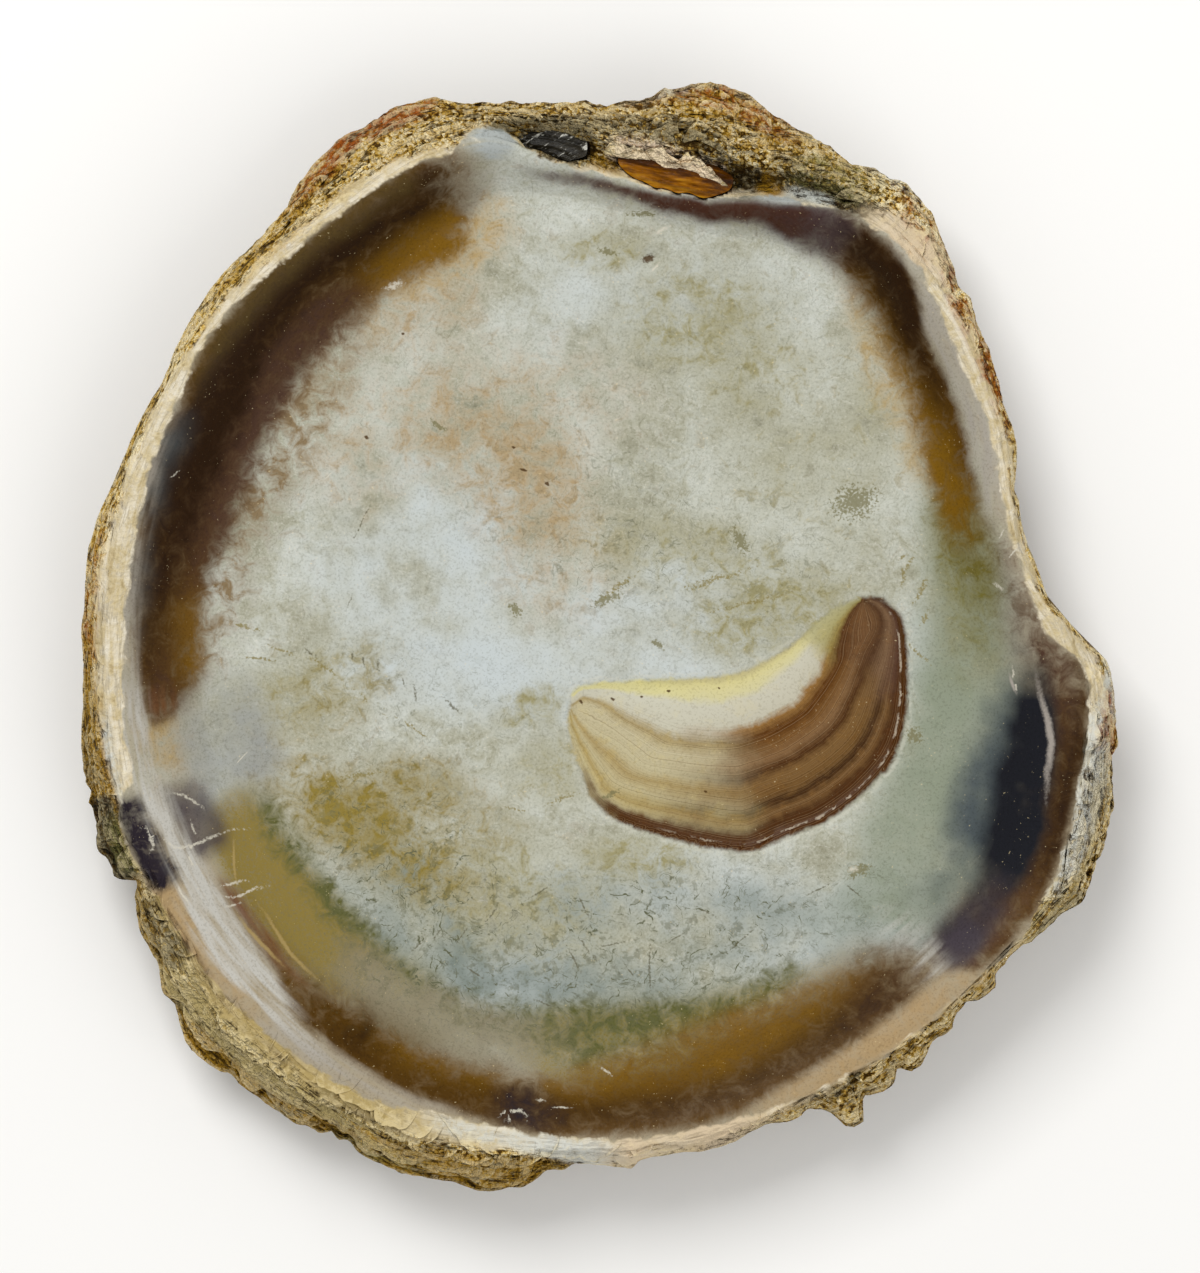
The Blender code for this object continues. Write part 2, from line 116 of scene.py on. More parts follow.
valve = {
    # outline from above: (angle, radius in pixels)
    "outline": [
        (0, 481), (2, 467), (4, 452), (6, 447), (8, 444), (10, 441), (12, 437), (14, 436),
        (16, 437), (18, 440), (19.5, 439), (21, 445), (23, 453), (25, 459), (26.5, 462),
        (30, 465), (32, 472), (34, 477), (36, 482), (39.5, 490), (41, 497), (42.5, 502),
        (44.5, 502), (46, 512), (48, 519), (50, 530), (52, 538), (54, 544), (56, 547),
        (58, 545), (60, 543), (61.5, 539), (63, 541), (65, 542.5), (68, 545), (70, 547),
        (72, 555), (74, 560), (76, 565), (77.3, 567.5), (79, 567), (80, 563), (82, 555.5),
        (83.1, 554), (84, 546), (85.2, 540), (87, 537), (88.5, 535), (90.5, 532),
        (91.7, 536.5), (95, 537.5), (98, 540), (101, 544), (103, 550), (104.8, 554),
        (107, 565), (109, 568.5), (112, 568.5), (115, 563), (117.5, 563.5), (120, 557),
        (122, 551), (124, 543), (126, 533), (128, 528), (130, 525), (133, 524),
        (136, 524), (140, 520), (143, 517), (146, 513), (148, 508), (150, 506.5),
        (153, 508), (159, 509), (162, 510), (166, 516), (170, 520), (172, 519), (177, 517),
        (179, 520), (183, 518), (185, 520), (188, 523), (190, 528), (192, 532), (194, 534),
        (196, 537), (197, 535), (198, 541), (199, 538), (201, 543), (203.3, 547.5),
        (204.2, 543), (206.3, 545), (207.1, 538), (207.7, 527), (209, 535), (210.5, 541),
        (212, 547), (213.5, 550), (216, 551), (217, 554), (218, 560), (219.3, 566.5),
        (221, 565), (222, 570), (223, 576), (224.3, 582), (226, 584), (228.5, 582),
        (229.7, 575), (231, 578), (233, 577), (235, 576), (238, 577), (239, 572),
        (240.5, 573), (241.5, 567), (242.5, 571), (243.5, 566), (245, 573), (249.5, 575),
        (253, 571), (255, 568), (257.5, 571), (259, 567), (260, 564), (262, 558),
        (263, 551), (264.2, 539), (266, 536), (267, 530), (269, 529), (271, 530),
        (273.5, 534), (274.3, 526), (276, 524), (279, 523), (281, 526), (285, 523),
        (287, 519), (289, 516), (291, 521), (292.8, 522), (293.7, 517), (295, 523),
        (296, 533), (296.6, 549), (297.5, 556), (298.5, 554), (299.2, 540), (299.9, 530),
        (302, 540), (303.5, 535), (304.6, 526), (305.5, 536), (307, 537), (309.5, 526),
        (312, 528), (313, 521), (315, 519), (316.2, 526), (318.5, 530), (319.6, 521),
        (322, 521), (324, 526), (325, 532), (327, 535), (329, 541), (330, 546),
        (331.6, 554), (332.5, 552), (334, 550), (338, 546), (342, 542), (344, 534),
        (346, 530), (347, 528), (348.3, 531), (350, 527), (352, 521), (354, 517),
        (356, 513), (357.5, 506), (358.5, 492),
    ],
    # crest of the smooth rim, and foot of the wall, in mm
    "rim": [
        (0, 39.5), (10, 36.3), (20, 36.6), (30, 38.4), (40, 40.1), (50, 41.3), (56, 41.8),
        (62, 41.2), (68, 39.8), (74, 38.4), (80, 38.1), (86, 38.7), (92, 40.1), (98, 41.8),
        (103, 43.4), (108, 43.3), (114, 43.0), (120, 42.4), (135, 42.1), (150, 41.7),
        (180, 41.7), (190, 42.0), (200, 42.5), (214, 43.1), (230, 43.7), (240, 44.2),
        (250, 44.6), (260, 43.7), (275, 43.4), (292, 42.9), (300, 42.7), (310, 43.1),
        (320, 43.3), (330, 44.0), (338, 42.9), (346, 42.0), (353, 41.3),
    ],
    "foot": [
        (0, 31.5), (15, 30.5), (30, 32.5), (45, 35.0), (55, 37.0), (65, 36.8), (75, 35.6),
        (85, 35.9), (95, 37.6), (103, 38.6), (110, 37.5), (120, 35.5), (135, 34.2),
        (150, 33.5), (165, 33.2), (180, 34.0), (195, 34.5), (210, 34.0), (225, 34.0),
        (240, 35.0), (255, 36.0), (270, 35.5), (285, 34.5), (300, 34.0), (315, 35.0),
        (330, 35.0), (345, 33.5),
    ],
    # heights in mm of the floor's middle, the wall's foot, the rim and the edge
    "floorZ": 5.4,
    "footZ": [
        (0, 7.0), (45, 7.5), (60, 8.3), (80, 8.9), (95, 9.0), (110, 8.2), (130, 7.2),
        (180, 6.9), (240, 6.9), (300, 6.9),
    ],
    "rimZ": [
        (0, 11.6), (30, 11.6), (50, 12.4), (60, 11.8), (68, 10.8), (78, 10.4), (90, 10.8),
        (99, 12.0), (108, 13.1), (118, 13.7), (130, 13.4), (160, 12.9), (180, 12.4),
        (205, 11.7), (225, 12.0), (250, 11.8), (270, 11.4), (290, 11.3), (310, 11.5),
        (330, 12.2), (348, 12.4),
    ],
    "edgeZ": [
        (0, 9.6), (20, 9.7), (40, 9.4), (56, 8.8), (70, 9.0), (80, 9.2), (90, 9.0),
        (110, 8.4), (125, 8.8), (150, 9.2), (180, 8.2), (205, 6.8), (225, 5.9), (245, 5.9),
        (260, 6.4), (270, 8.2), (285, 8.4), (300, 7.2), (315, 7.8), (330, 7.2), (345, 7.8),
        (355, 9.0),
    ],
    "floorWaves": (0.25, 24.0),  # height and size in mm
    # hinge plate: how strongly it shows, then share of the way out, half width, height
    "hinge": [
        (50, 0.0), (60, 0.3), (68, 1.0), (80, 1.0), (98, 1.0), (104, 0.4), (112, 0.0),
        (200, 0.0), (300, 0.0),
    ],
    "groove": (0.24, 0.24, 1.2),
    "plate": (0.62, 0.36, 2.0),
    # broken ledges: share of the way out to each, and its drop in mm
    "ledges": [(0.20, 0.5), (0.45, 0.9), (0.72, 0.9)],
    "ledgeFace": 0.09,
    "ledgeSway": 0.09,
    "ledgeStrength": [
        (0, 0.1), (20, 0.1), (35, 0.4), (60, 0.5), (85, 0.5), (110, 0.8), (140, 0.6),
        (180, 0.7), (200, 1.1), (212, 1.4), (260, 1.4), (270, 0.3), (290, 0.6),
        (310, 0.9), (330, 1.2), (345, 1.1), (355, 0.2),
    ],
    "rubble": (0.9, 2.8),
    "leastMargin": 0.3,   # mm
    "wallRound": 0.45,
    "marginBend": 1.5,
    "highest": 13.72,
    "levelling": 0.6,     # mm below the highest point over which it levels out
}

# How the margin has weathered, by angle: broken into thin layers, and crumbled
weathering = {
    "layered": [
        (0, 0.1), (20, 0.25), (45, 0.5), (60, 0.7), (100, 0.8), (112, 0.6), (140, 0.35),
        (165, 0.35), (185, 0.5), (197, 0.9), (262, 1.0), (270, 0.45), (290, 0.3),
        (295, 0.9), (320, 0.8), (331, 1.0), (350, 0.9), (357, 0.2),
    ],
    "crumbled": [
        (0, 0.05), (18, 0.15), (35, 0.5), (48, 0.7), (62, 1.0), (100, 0.9), (125, 0.6),
        (140, 0.25), (165, 0.2), (190, 0.3), (198, 0.9), (208, 0.8), (214, 0.5), (256, 0.5),
        (262, 0.65), (270, 0.4),
        (288, 0.3), (296, 0.8), (322, 0.5), (334, 0.9), (352, 0.8), (357, 0.1),
    ],
    "steps": [(0.55, 0.30, 4.0), (0.21, 0.45, 1.3)],  # step in mm, its riser, wobble size
    "lump": (0.30, 1.3),    # height and size of the crumbs in mm
    "grit": (0.17, 0.50),
    "pores": (0.35, 0.75),  # depth and size
    "sheets": (0.20, 0.42, 5.0),  # height, width and length of thin torn sheets
    "jags": [(0.30, 1.7), (0.18, 0.7), (0.10, 0.35)],  # how far the edge runs in and out
}

# The outer face, which looks down: growth scales round the umbo
outerFace = {
    "umbo": (4.0, 36.0),
    "youngRadius": 44.0,
    "restingShare": 0.34,
    "curve": 1.9,
    "wornCentre": (-1.0, -5.0),
    "wornHalf": (19.0, 16.0),
    "wearDepth": 0.45,
    "waves": (0.25, 5.0),
    "scales": [
        (0.30, 0.9), (0.44, 0.8), (0.56, 1.1), (0.67, 0.9), (0.77, 1.2), (0.86, 1.0),
        (0.94, 1.0),
    ],
    "scaleSway": 0.022,
    "fineLines": (0.11, 0.7),  # height and spacing of the fine growth lines in mm
    "radialFolds": (0.22, 3.0),
    "grit": (0.12, 0.9),
    "span": 45,            # mm from the umbo to the margin, roughly
}

# The muscle scar, in pixels: the upper edge from its left end to its tip, then the lower
scar = {
    "upper": [
        (569, 707), (574, 692), (589, 684), (629, 681), (684, 679), (727, 676), (754, 667),
        (794, 643), (821, 618), (844, 603), (864, 597),
    ],
    "lower": [
        (569, 707), (569, 731), (583, 780), (593, 801), (622, 823), (662, 837), (714, 849),
        (751, 852), (794, 835), (830, 820), (873, 786), (898, 750), (908, 698),
        (905, 625), (885, 600), (864, 597),
    ],
    "depth": (0.35, 0.8),  # mm, at the upper and the lower edge
    "lip": 0.9,            # mm over which its edge goes down
}

# Ligament remnants: angles of the ends, distance out from the rim, half width, heights
ligaments = {
    "amber": {"ends": (74.0, 87.5), "out": 1.75, "half": 1.25, "low": 8.7, "high": 10.6},
    "black": {"ends": (91.8, 99.6), "out": 1.75, "half": 1.45, "low": 9.0, "high": 11.3},
    "gap": 0.3,
}

# Hollows in the inner face: pixel, half size in pixels, depth in mm
hollows = [
    ((648, 258), 8, 0.55),
    ((744, 182), 15, 1.2),
    ((845, 207), 11, 0.7),
]

# How finely the valve is divided: cells across each sheet, and rings of each band. The
# outer face starts with as many vertices to the ring as the edge has, then has half.
division = {
    "floorCells": 120, "wall": 20, "margin": 36, "under": 32, "fineUnder": 8,
    "underCells": 60, "underTo": 0.42, "underStep": 0.012,
}


def polarOf(x, y):
    return np.degrees(np.arctan2(y, x)) % 360, np.hypot(x, y)


def outlineRadius(angle):
    # the outline in mm, with the fine jags of the broken edge
    turn = np.radians(angle)
    smoothEdge = onLine(valve["outline"], angle) * px
    x = smoothEdge * np.cos(turn)
    y = smoothEdge * np.sin(turn)
    rough = onLine(weathering["crumbled"], angle)
    for layer, (reach, size) in enumerate(weathering["jags"]):
        smoothEdge = smoothEdge + rough * reach * (grain(x, y, size, 40 + layer) - 0.2)
    return smoothEdge


def ledgeDrop(angle, share):
    drop = 0.0
    for index, (place, height) in enumerate(valve["ledges"]):
        edge = place + valve["ledgeSway"] * sway(angle * 3, index + 11)
        drop = drop + height * (ease((share - edge) / valve["ledgeFace"]) - share)
    return onCurve(valve["ledgeStrength"], angle) * drop


def plainHeight(x, y):
    # height of the inner face before its fine wear, and how far out on the margin it is
    angle, radius = polarOf(x, y)
    foot = onCurve(valve["foot"], angle)
    rim = onCurve(valve["rim"], angle)
    outer = np.maximum(onCurve(valve["outline"], angle) * px, rim + valve["leastMargin"])
    footZ = onCurve(valve["footZ"], angle)
    rimZ = onCurve(valve["rimZ"], angle)
    waves = valve["floorWaves"][0] * grain(x, y, valve["floorWaves"][1], 1)
    onFloor = mix(valve["floorZ"], footZ, (radius / foot) ** 2) + waves
    up = np.clip((radius - foot) / (rim - foot), 0, 1)
    rise = mix(ease(up), np.sin(up * math.pi / 2), valve["wallRound"])
    onWall = mix(footZ, rimZ, rise) + waves * (1 - up)
    share = np.clip((radius - rim) / (outer - rim), 0, 1)
    onMargin = mix(rimZ, onCurve(valve["edgeZ"], angle), share ** valve["marginBend"])
    middle, half, height = valve["plate"]
    relief = height * hump(share, middle, half)
    middle, half, height = valve["groove"]
    relief = relief - height * hump(share, middle, half)
    onMargin += np.maximum(0, onCurve(valve["hinge"], angle)) * relief
    onMargin -= ledgeDrop(angle, share)
    height, size = valve["rubble"]
    onMargin += height * grain(x, y, size, 2) * hump(share, 0.5, 0.5)
    z = np.where(radius <= foot, onFloor, np.where(radius <= rim, onWall, onMargin))
    return z, share


def wear(x, y, angle, share, z):
    # the margin weathers into steps, crumbs and pores
    fade = ease(share / 0.14)
    layered = onLine(weathering["layered"], angle) * fade
    crumbled = onLine(weathering["crumbled"], angle) * fade
    for layer, (step, riser, size) in enumerate(weathering["steps"]):
        wobble = 0.8 * grain(x, y, size, 21 + layer) + 0.3 * grain(x, y, size / 3, 25 + layer)
        z = mix(z, terrace(z, step, riser, wobble), layered)
    height, size = weathering["lump"]
    lump = height * (0.6 - 1.6 * np.abs(grain(x, y, size, 31)))
    height, size = weathering["grit"]
    lump = lump + height * grain(x, y, size, 32)
    depth, size = weathering["pores"]
    lump = lump - depth * ease((grain(x, y, size, 33) - 0.34) / 0.2)
    height, wide, long = weathering["sheets"]
    out = polarOf(x, y)[1] - onCurve(valve["rim"], angle)
    drift = out + 0.5 * grain(x, y, 3.0, 34)
    torn = grain(np.radians(angle) * 45 / long, drift / wide, 1.0, 35)
    z = z + layered * height * (0.35 - np.abs(torn) * 2.2) * ease((1 - share) / 0.06)
    edge = ease((1 - share) / 0.10)
    return z + crumbled * mix(0.15, 1.0, edge) * lump


def smoothLine(points, steps=4):
    # an open curve through the points
    points = np.array(points, float)
    padded = np.vstack([2 * points[0] - points[1], points, 2 * points[-1] - points[-2]])
    made = []
    for i in range(1, len(padded) - 2):
        a, b, c, d = padded[i - 1:i + 3]
        for t in np.arange(steps) / steps:
            bend = (2 * a - 5 * b + 4 * c - d) * t**2 + (3 * b - a - 3 * c + d) * t**3
            made.append(0.5 * (2 * b + (c - a) * t + bend))
    return np.array(made + [padded[-2]])


def toShell(pixels):
    # pixels of the picture as mm on the shell
    pixels = np.atleast_2d(np.array(pixels, float))
    east = pixels[:, 0] - picture["middle"][0]
    north = picture["middle"][1] - pixels[:, 1]
    return np.stack([east, north], 1) * px


def distanceTo(line, x, y):
    # distance from each place to a line of points
    best = np.full(np.shape(x), 1e9)
    for (ax, ay), (bx, by) in zip(line[:-1], line[1:]):
        dx, dy = bx - ax, by - ay
        t = np.clip(((x - ax) * dx + (y - ay) * dy) / (dx * dx + dy * dy), 0, 1)
        best = np.minimum(best, np.hypot(x - ax - t * dx, y - ay - t * dy))
    return best


def inside(line, x, y):
    # whether each place lies within a closed line
    crossed = np.zeros(np.shape(x), bool)
    for (ax, ay), (bx, by) in zip(line, np.roll(line, -1, axis=0)):
        if ay != by:
            east = ax + (y - ay) / (by - ay) * (bx - ax)
            crossed ^= ((ay > y) != (by > y)) & (x < east)
    return crossed


def scarPlace(x, y):
    # how deep within the scar's edge a place is in mm, and where across and along it
    upper = toShell(smoothLine(scar["upper"]))
    lower = toShell(smoothLine(scar["lower"]))
    toUpper = distanceTo(upper, x, y)
    toLower = distanceTo(lower, x, y)
    within = inside(np.vstack([upper, lower[::-1]]), x, y)
    deep = np.where(within, 1, -1) * np.minimum(toUpper, toLower)
    across = toUpper / (toUpper + toLower + 1e-6)
    fromLeft = np.hypot(x - upper[0][0], y - upper[0][1])
    fromTip = np.hypot(x - upper[-1][0], y - upper[-1][1])
    return deep, across, fromLeft / (fromLeft + fromTip)


def ligamentEdge(piece, turn, margin=0.0):
    # the outline of a ligament remnant from above, as a band along the rim
    first, last = piece["ends"]
    middle = (first + last) / 2
    reach = (last - first) / 2 + math.degrees(margin / onCurve(valve["rim"], middle))
    angle = middle + reach * np.cos(turn)
    bulge = np.sign(np.sin(turn)) * np.abs(np.sin(turn)) ** 0.7
    ragged = 0.5 * sway(angle * 9, 97) * np.abs(np.sin(turn))
    half = piece["half"] + margin + ragged
    radius = onCurve(valve["rim"], angle) + piece["out"] + half * bulge
    return radius * np.cos(np.radians(angle)), radius * np.sin(np.radians(angle))


def innerHeight(x, y):
    # the finished inner face: its height, and how far its wear stands off the plain form, raised
    # near the outer edge so that a highlight is painted there
    angle, _ = polarOf(x, y)
    plain, share = plainHeight(x, y)
    z = wear(x, y, angle, share, plain)
    relief = z - plain
    deep, across, _ = scarPlace(x, y)
    z = z - mix(*scar["depth"], across) * ease(deep / scar["lip"] + 0.35)
    for place, half, depth in hollows:
        (cx, cy), = toShell(place)
        z = z - depth * ease(1.35 - np.hypot(x - cx, y - cy) / (half * px))
    for name in ("amber", "black"):
        piece = ligaments[name]
        turns = np.linspace(0, 2 * math.pi, 64, endpoint=False)
        edge = np.stack(ligamentEdge(piece, turns, ligaments["gap"]), 1)
        closed = np.vstack([edge, edge[:1]])
        off = distanceTo(closed, x, y) * np.where(inside(edge, x, y), 1, -1)
        bed = piece["low"] - ligaments["gap"]
        z = np.where(off > -0.05, np.minimum(z, mix(z, bed, ease(off / 0.15 + 0.3))), z)
    # near the outer edge the relief is lifted, which the material turns into a painted highlight
    # along the edge
    return levelled(z, 0.0), relief + 0.5 * ease((share - 0.88) / 0.1)


def levelled(z, below):
    # heights near the shell's highest point level out, so that none goes past it
    top, room = valve["highest"] - below, valve["levelling"]
    over = np.maximum(z - top + room, 0) / room
    return np.where(over > 0, top - room * np.exp(-over), z)


def scaleRelief(share, angle):
    # how far each growth scale stands back from its own edge
    start = np.zeros_like(share)
    relief = np.zeros_like(share)
    done = np.zeros(share.shape, bool)
    rows = list(enumerate(outerFace["scales"])) + [(None, (1.04, 0.8))]
    for index, (place, height) in rows:
        edge = np.full_like(share, place)
        if index is not None:
            edge = place * (1 + outerFace["scaleSway"] * sway(angle, index))
        here = ~done & (share <= edge)
        t = ease((share - start) / np.maximum(edge - start, 1e-6))
        relief = np.where(here, height * (1 - t**0.8), relief)
        done |= here
        start = np.where(done, start, edge)
    return relief


def underHeight(x, y, share, angle):
    # the finished outer face, worn flat where it rests
    bearing, radius = polarOf(x, y)
    reach = radius / (onCurve(valve["outline"], bearing) * px)
    resting = outerFace["restingShare"]
    rise = np.clip((reach - resting) / (1 - resting), 0, 1)
    z = onCurve(valve["edgeZ"], bearing) * rise ** outerFace["curve"]
    z -= outerFace["wearDepth"] * (1 - ease((reach - 0.5) / 0.5))
    centre, half = outerFace["wornCentre"], outerFace["wornHalf"]
    worn = np.hypot((x - centre[0]) / half[0], (y - centre[1]) / half[1])
    kept = ease((worn - 0.75) / 0.35) * (1 - ease((reach - 0.93) / 0.07))
    wave, size = outerFace["waves"]
    relief = scaleRelief(share, angle) + wave * grain(x, y, size, 4)
    line, spacing = outerFace["fineLines"]
    lines = grain(share * outerFace["span"] / spacing, angle / 25, 1.0, 51)
    fold, size = outerFace["radialFolds"]
    folds = grain(angle * 0.75 / size, share * 3, 1.0, 52)
    relief = relief + line * lines + fold * folds * share
    grit, size = outerFace["grit"]
    relief = relief + grit * grain(x, y, size, 53)
    return np.maximum(0, z + kept * relief), kept * relief


def woundSheet(cells):
    # a square sheet wound into rings: each vertex's ring from 0 to 1, and its angle
    line = np.linspace(-1, 1, cells + 1)
    across, along = np.meshgrid(line, line, indexing="ij")
    ring = np.maximum(np.abs(across), np.abs(along))
    with np.errstate(divide="ignore", invalid="ignore"):
        side = 45 * along / across + np.where(across > 0, 0, 180)
        end = 90 - 45 * across / along + np.where(along > 0, 0, 180)
    angle = np.where(np.abs(across) >= np.abs(along), side, end)
    return ring, np.where(ring > 0, angle, 0) % 360


def sheetFaces(cells, ring, angle, innerStart, ringStart):
    # quads of a wound sheet, whose outermost vertices are those of a ring that exists
    edge = ring > 1 - 1e-9
    ids = np.zeros(ring.shape, int)
    ids[~edge] = innerStart + np.arange((~edge).sum())
    count = 4 * cells
    ids[edge] = ringStart + np.round(angle[edge] * count / 360).astype(int) % count
    corners = [ids[:-1, :-1], ids[1:, :-1], ids[1:, 1:], ids[:-1, 1:]]
    return np.stack([c.ravel() for c in corners], 1).tolist()


def bandFaces(innerStart, innerCount, outerStart, outerCount):
    # faces between two rings with as many vertices, or twice as many in the outer one
    j = np.arange(innerCount)
    k = (j + 1) % innerCount
    if innerCount == outerCount:
        quads = [innerStart + j, outerStart + j, outerStart + k, innerStart + k]
        return np.stack(quads, 1).tolist()
    a, b = innerStart + j, innerStart + k
    first, mid = outerStart + 2 * j, outerStart + 2 * j + 1
    last = outerStart + (2 * j + 2) % outerCount
    fans = [np.stack(f, 1) for f in ((a, first, mid), (a, mid, b), (b, mid, last))]
    return np.concatenate(fans).tolist()


def underPlace(share, angle):
    # where a growth line lies: it widens from the umbo to the whole outline
    turn = np.radians(angle)
    radius = mix(outerFace["youngRadius"], outlineRadius(angle), share**2)
    ux, uy = outerFace["umbo"]
    return mix(ux, radius * np.cos(turn), share), mix(uy, radius * np.sin(turn), share)


def makeValveMesh():
    # top sheet, wall and margin out to the edge, then the outer face back to its middle
    blocks, faces, total = [], [], 0
    around = 8 * division["floorCells"]
    full = np.arange(around) * 360 / around

    def addTop(angle, radius):
        nonlocal total
        x, y = radius * np.cos(np.radians(angle)), radius * np.sin(np.radians(angle))
        z, relief = innerHeight(x, y)
        out = radius - onCurve(valve["rim"], angle)
        blocks.append((x, y, z, relief, angle, out, np.zeros_like(x)))
        start, total = total, total + len(x)
        return start

    def addUnder(angle, share):
        nonlocal total
        x, y = underPlace(share, angle)
        z, relief = underHeight(x, y, share, angle)
        blocks.append((x, y, z, relief, angle, share * outerFace["span"], np.ones_like(x)))
        start, total = total, total + len(x)
        return start

    cells = division["floorCells"]
    ring, angle = woundSheet(cells)
    inner = ring < 1 - 1e-9
    half = full[::2]
    ringStart = addTop(half, onCurve(valve["foot"], half))
    sheetStart = addTop(angle[inner], ring[inner] * onCurve(valve["foot"], angle[inner]))
    faces += sheetFaces(cells, ring, angle, sheetStart, ringStart)
    last, count = ringStart, len(half)
    foot, rim = onCurve(valve["foot"], full), onCurve(valve["rim"], full)
    outer = outlineRadius(full)
    stops = [(foot, rim, t) for t in np.linspace(0, 1, division["wall"] + 1)[1:]]
    stops += [(rim, outer, t) for t in np.linspace(0, 1, division["margin"] + 1)[1:]]
    for low, high, t in stops:
        start = addTop(full, mix(low, high, t))
        faces += bandFaces(last, count, start, around)
        last, count = start, around
    x, y, z = blocks[-1][:3]
    z[:] = onCurve(valve["edgeZ"], full) + 0.25 * grain(x, y, 2.5, 61)

    under = []
    shares = np.linspace(1, division["underTo"], division["under"] + 1)[1:]
    for index, share in enumerate(shares):
        angles = full if index < division["fineUnder"] else half
        start = addUnder(angles, np.full(len(angles), share))
        under += bandFaces(start, len(angles), last, count)
        last, count = start, len(angles)
    cells = division["underCells"]
    quarter = half[::2]
    share = shares[-1] - division["underStep"]
    start = addUnder(quarter, np.full(len(quarter), share))
    under += bandFaces(start, len(quarter), last, count)
    ring, angle = woundSheet(cells)
    inner = ring < 1 - 1e-9
    sheetStart = addUnder(angle[inner], ring[inner] * share)
    under += sheetFaces(cells, ring, angle, sheetStart, start)
    faces += [face[::-1] for face in under]
    columns = [np.concatenate(column) for column in zip(*blocks)]
    return columns, faces


# Colour laid on the inner face. Each glaze is a tint of the shell that thickens and
# thins: arcs are rows of (angle, inner pixel radius, outer pixel radius, strength), and
# patches rows of (x, y, half width, half height, turn, strength) in pixels.
# soft is how far its inner and outer edges fade, in pixels; grain is the pattern that
# breaks it, and broken how much.

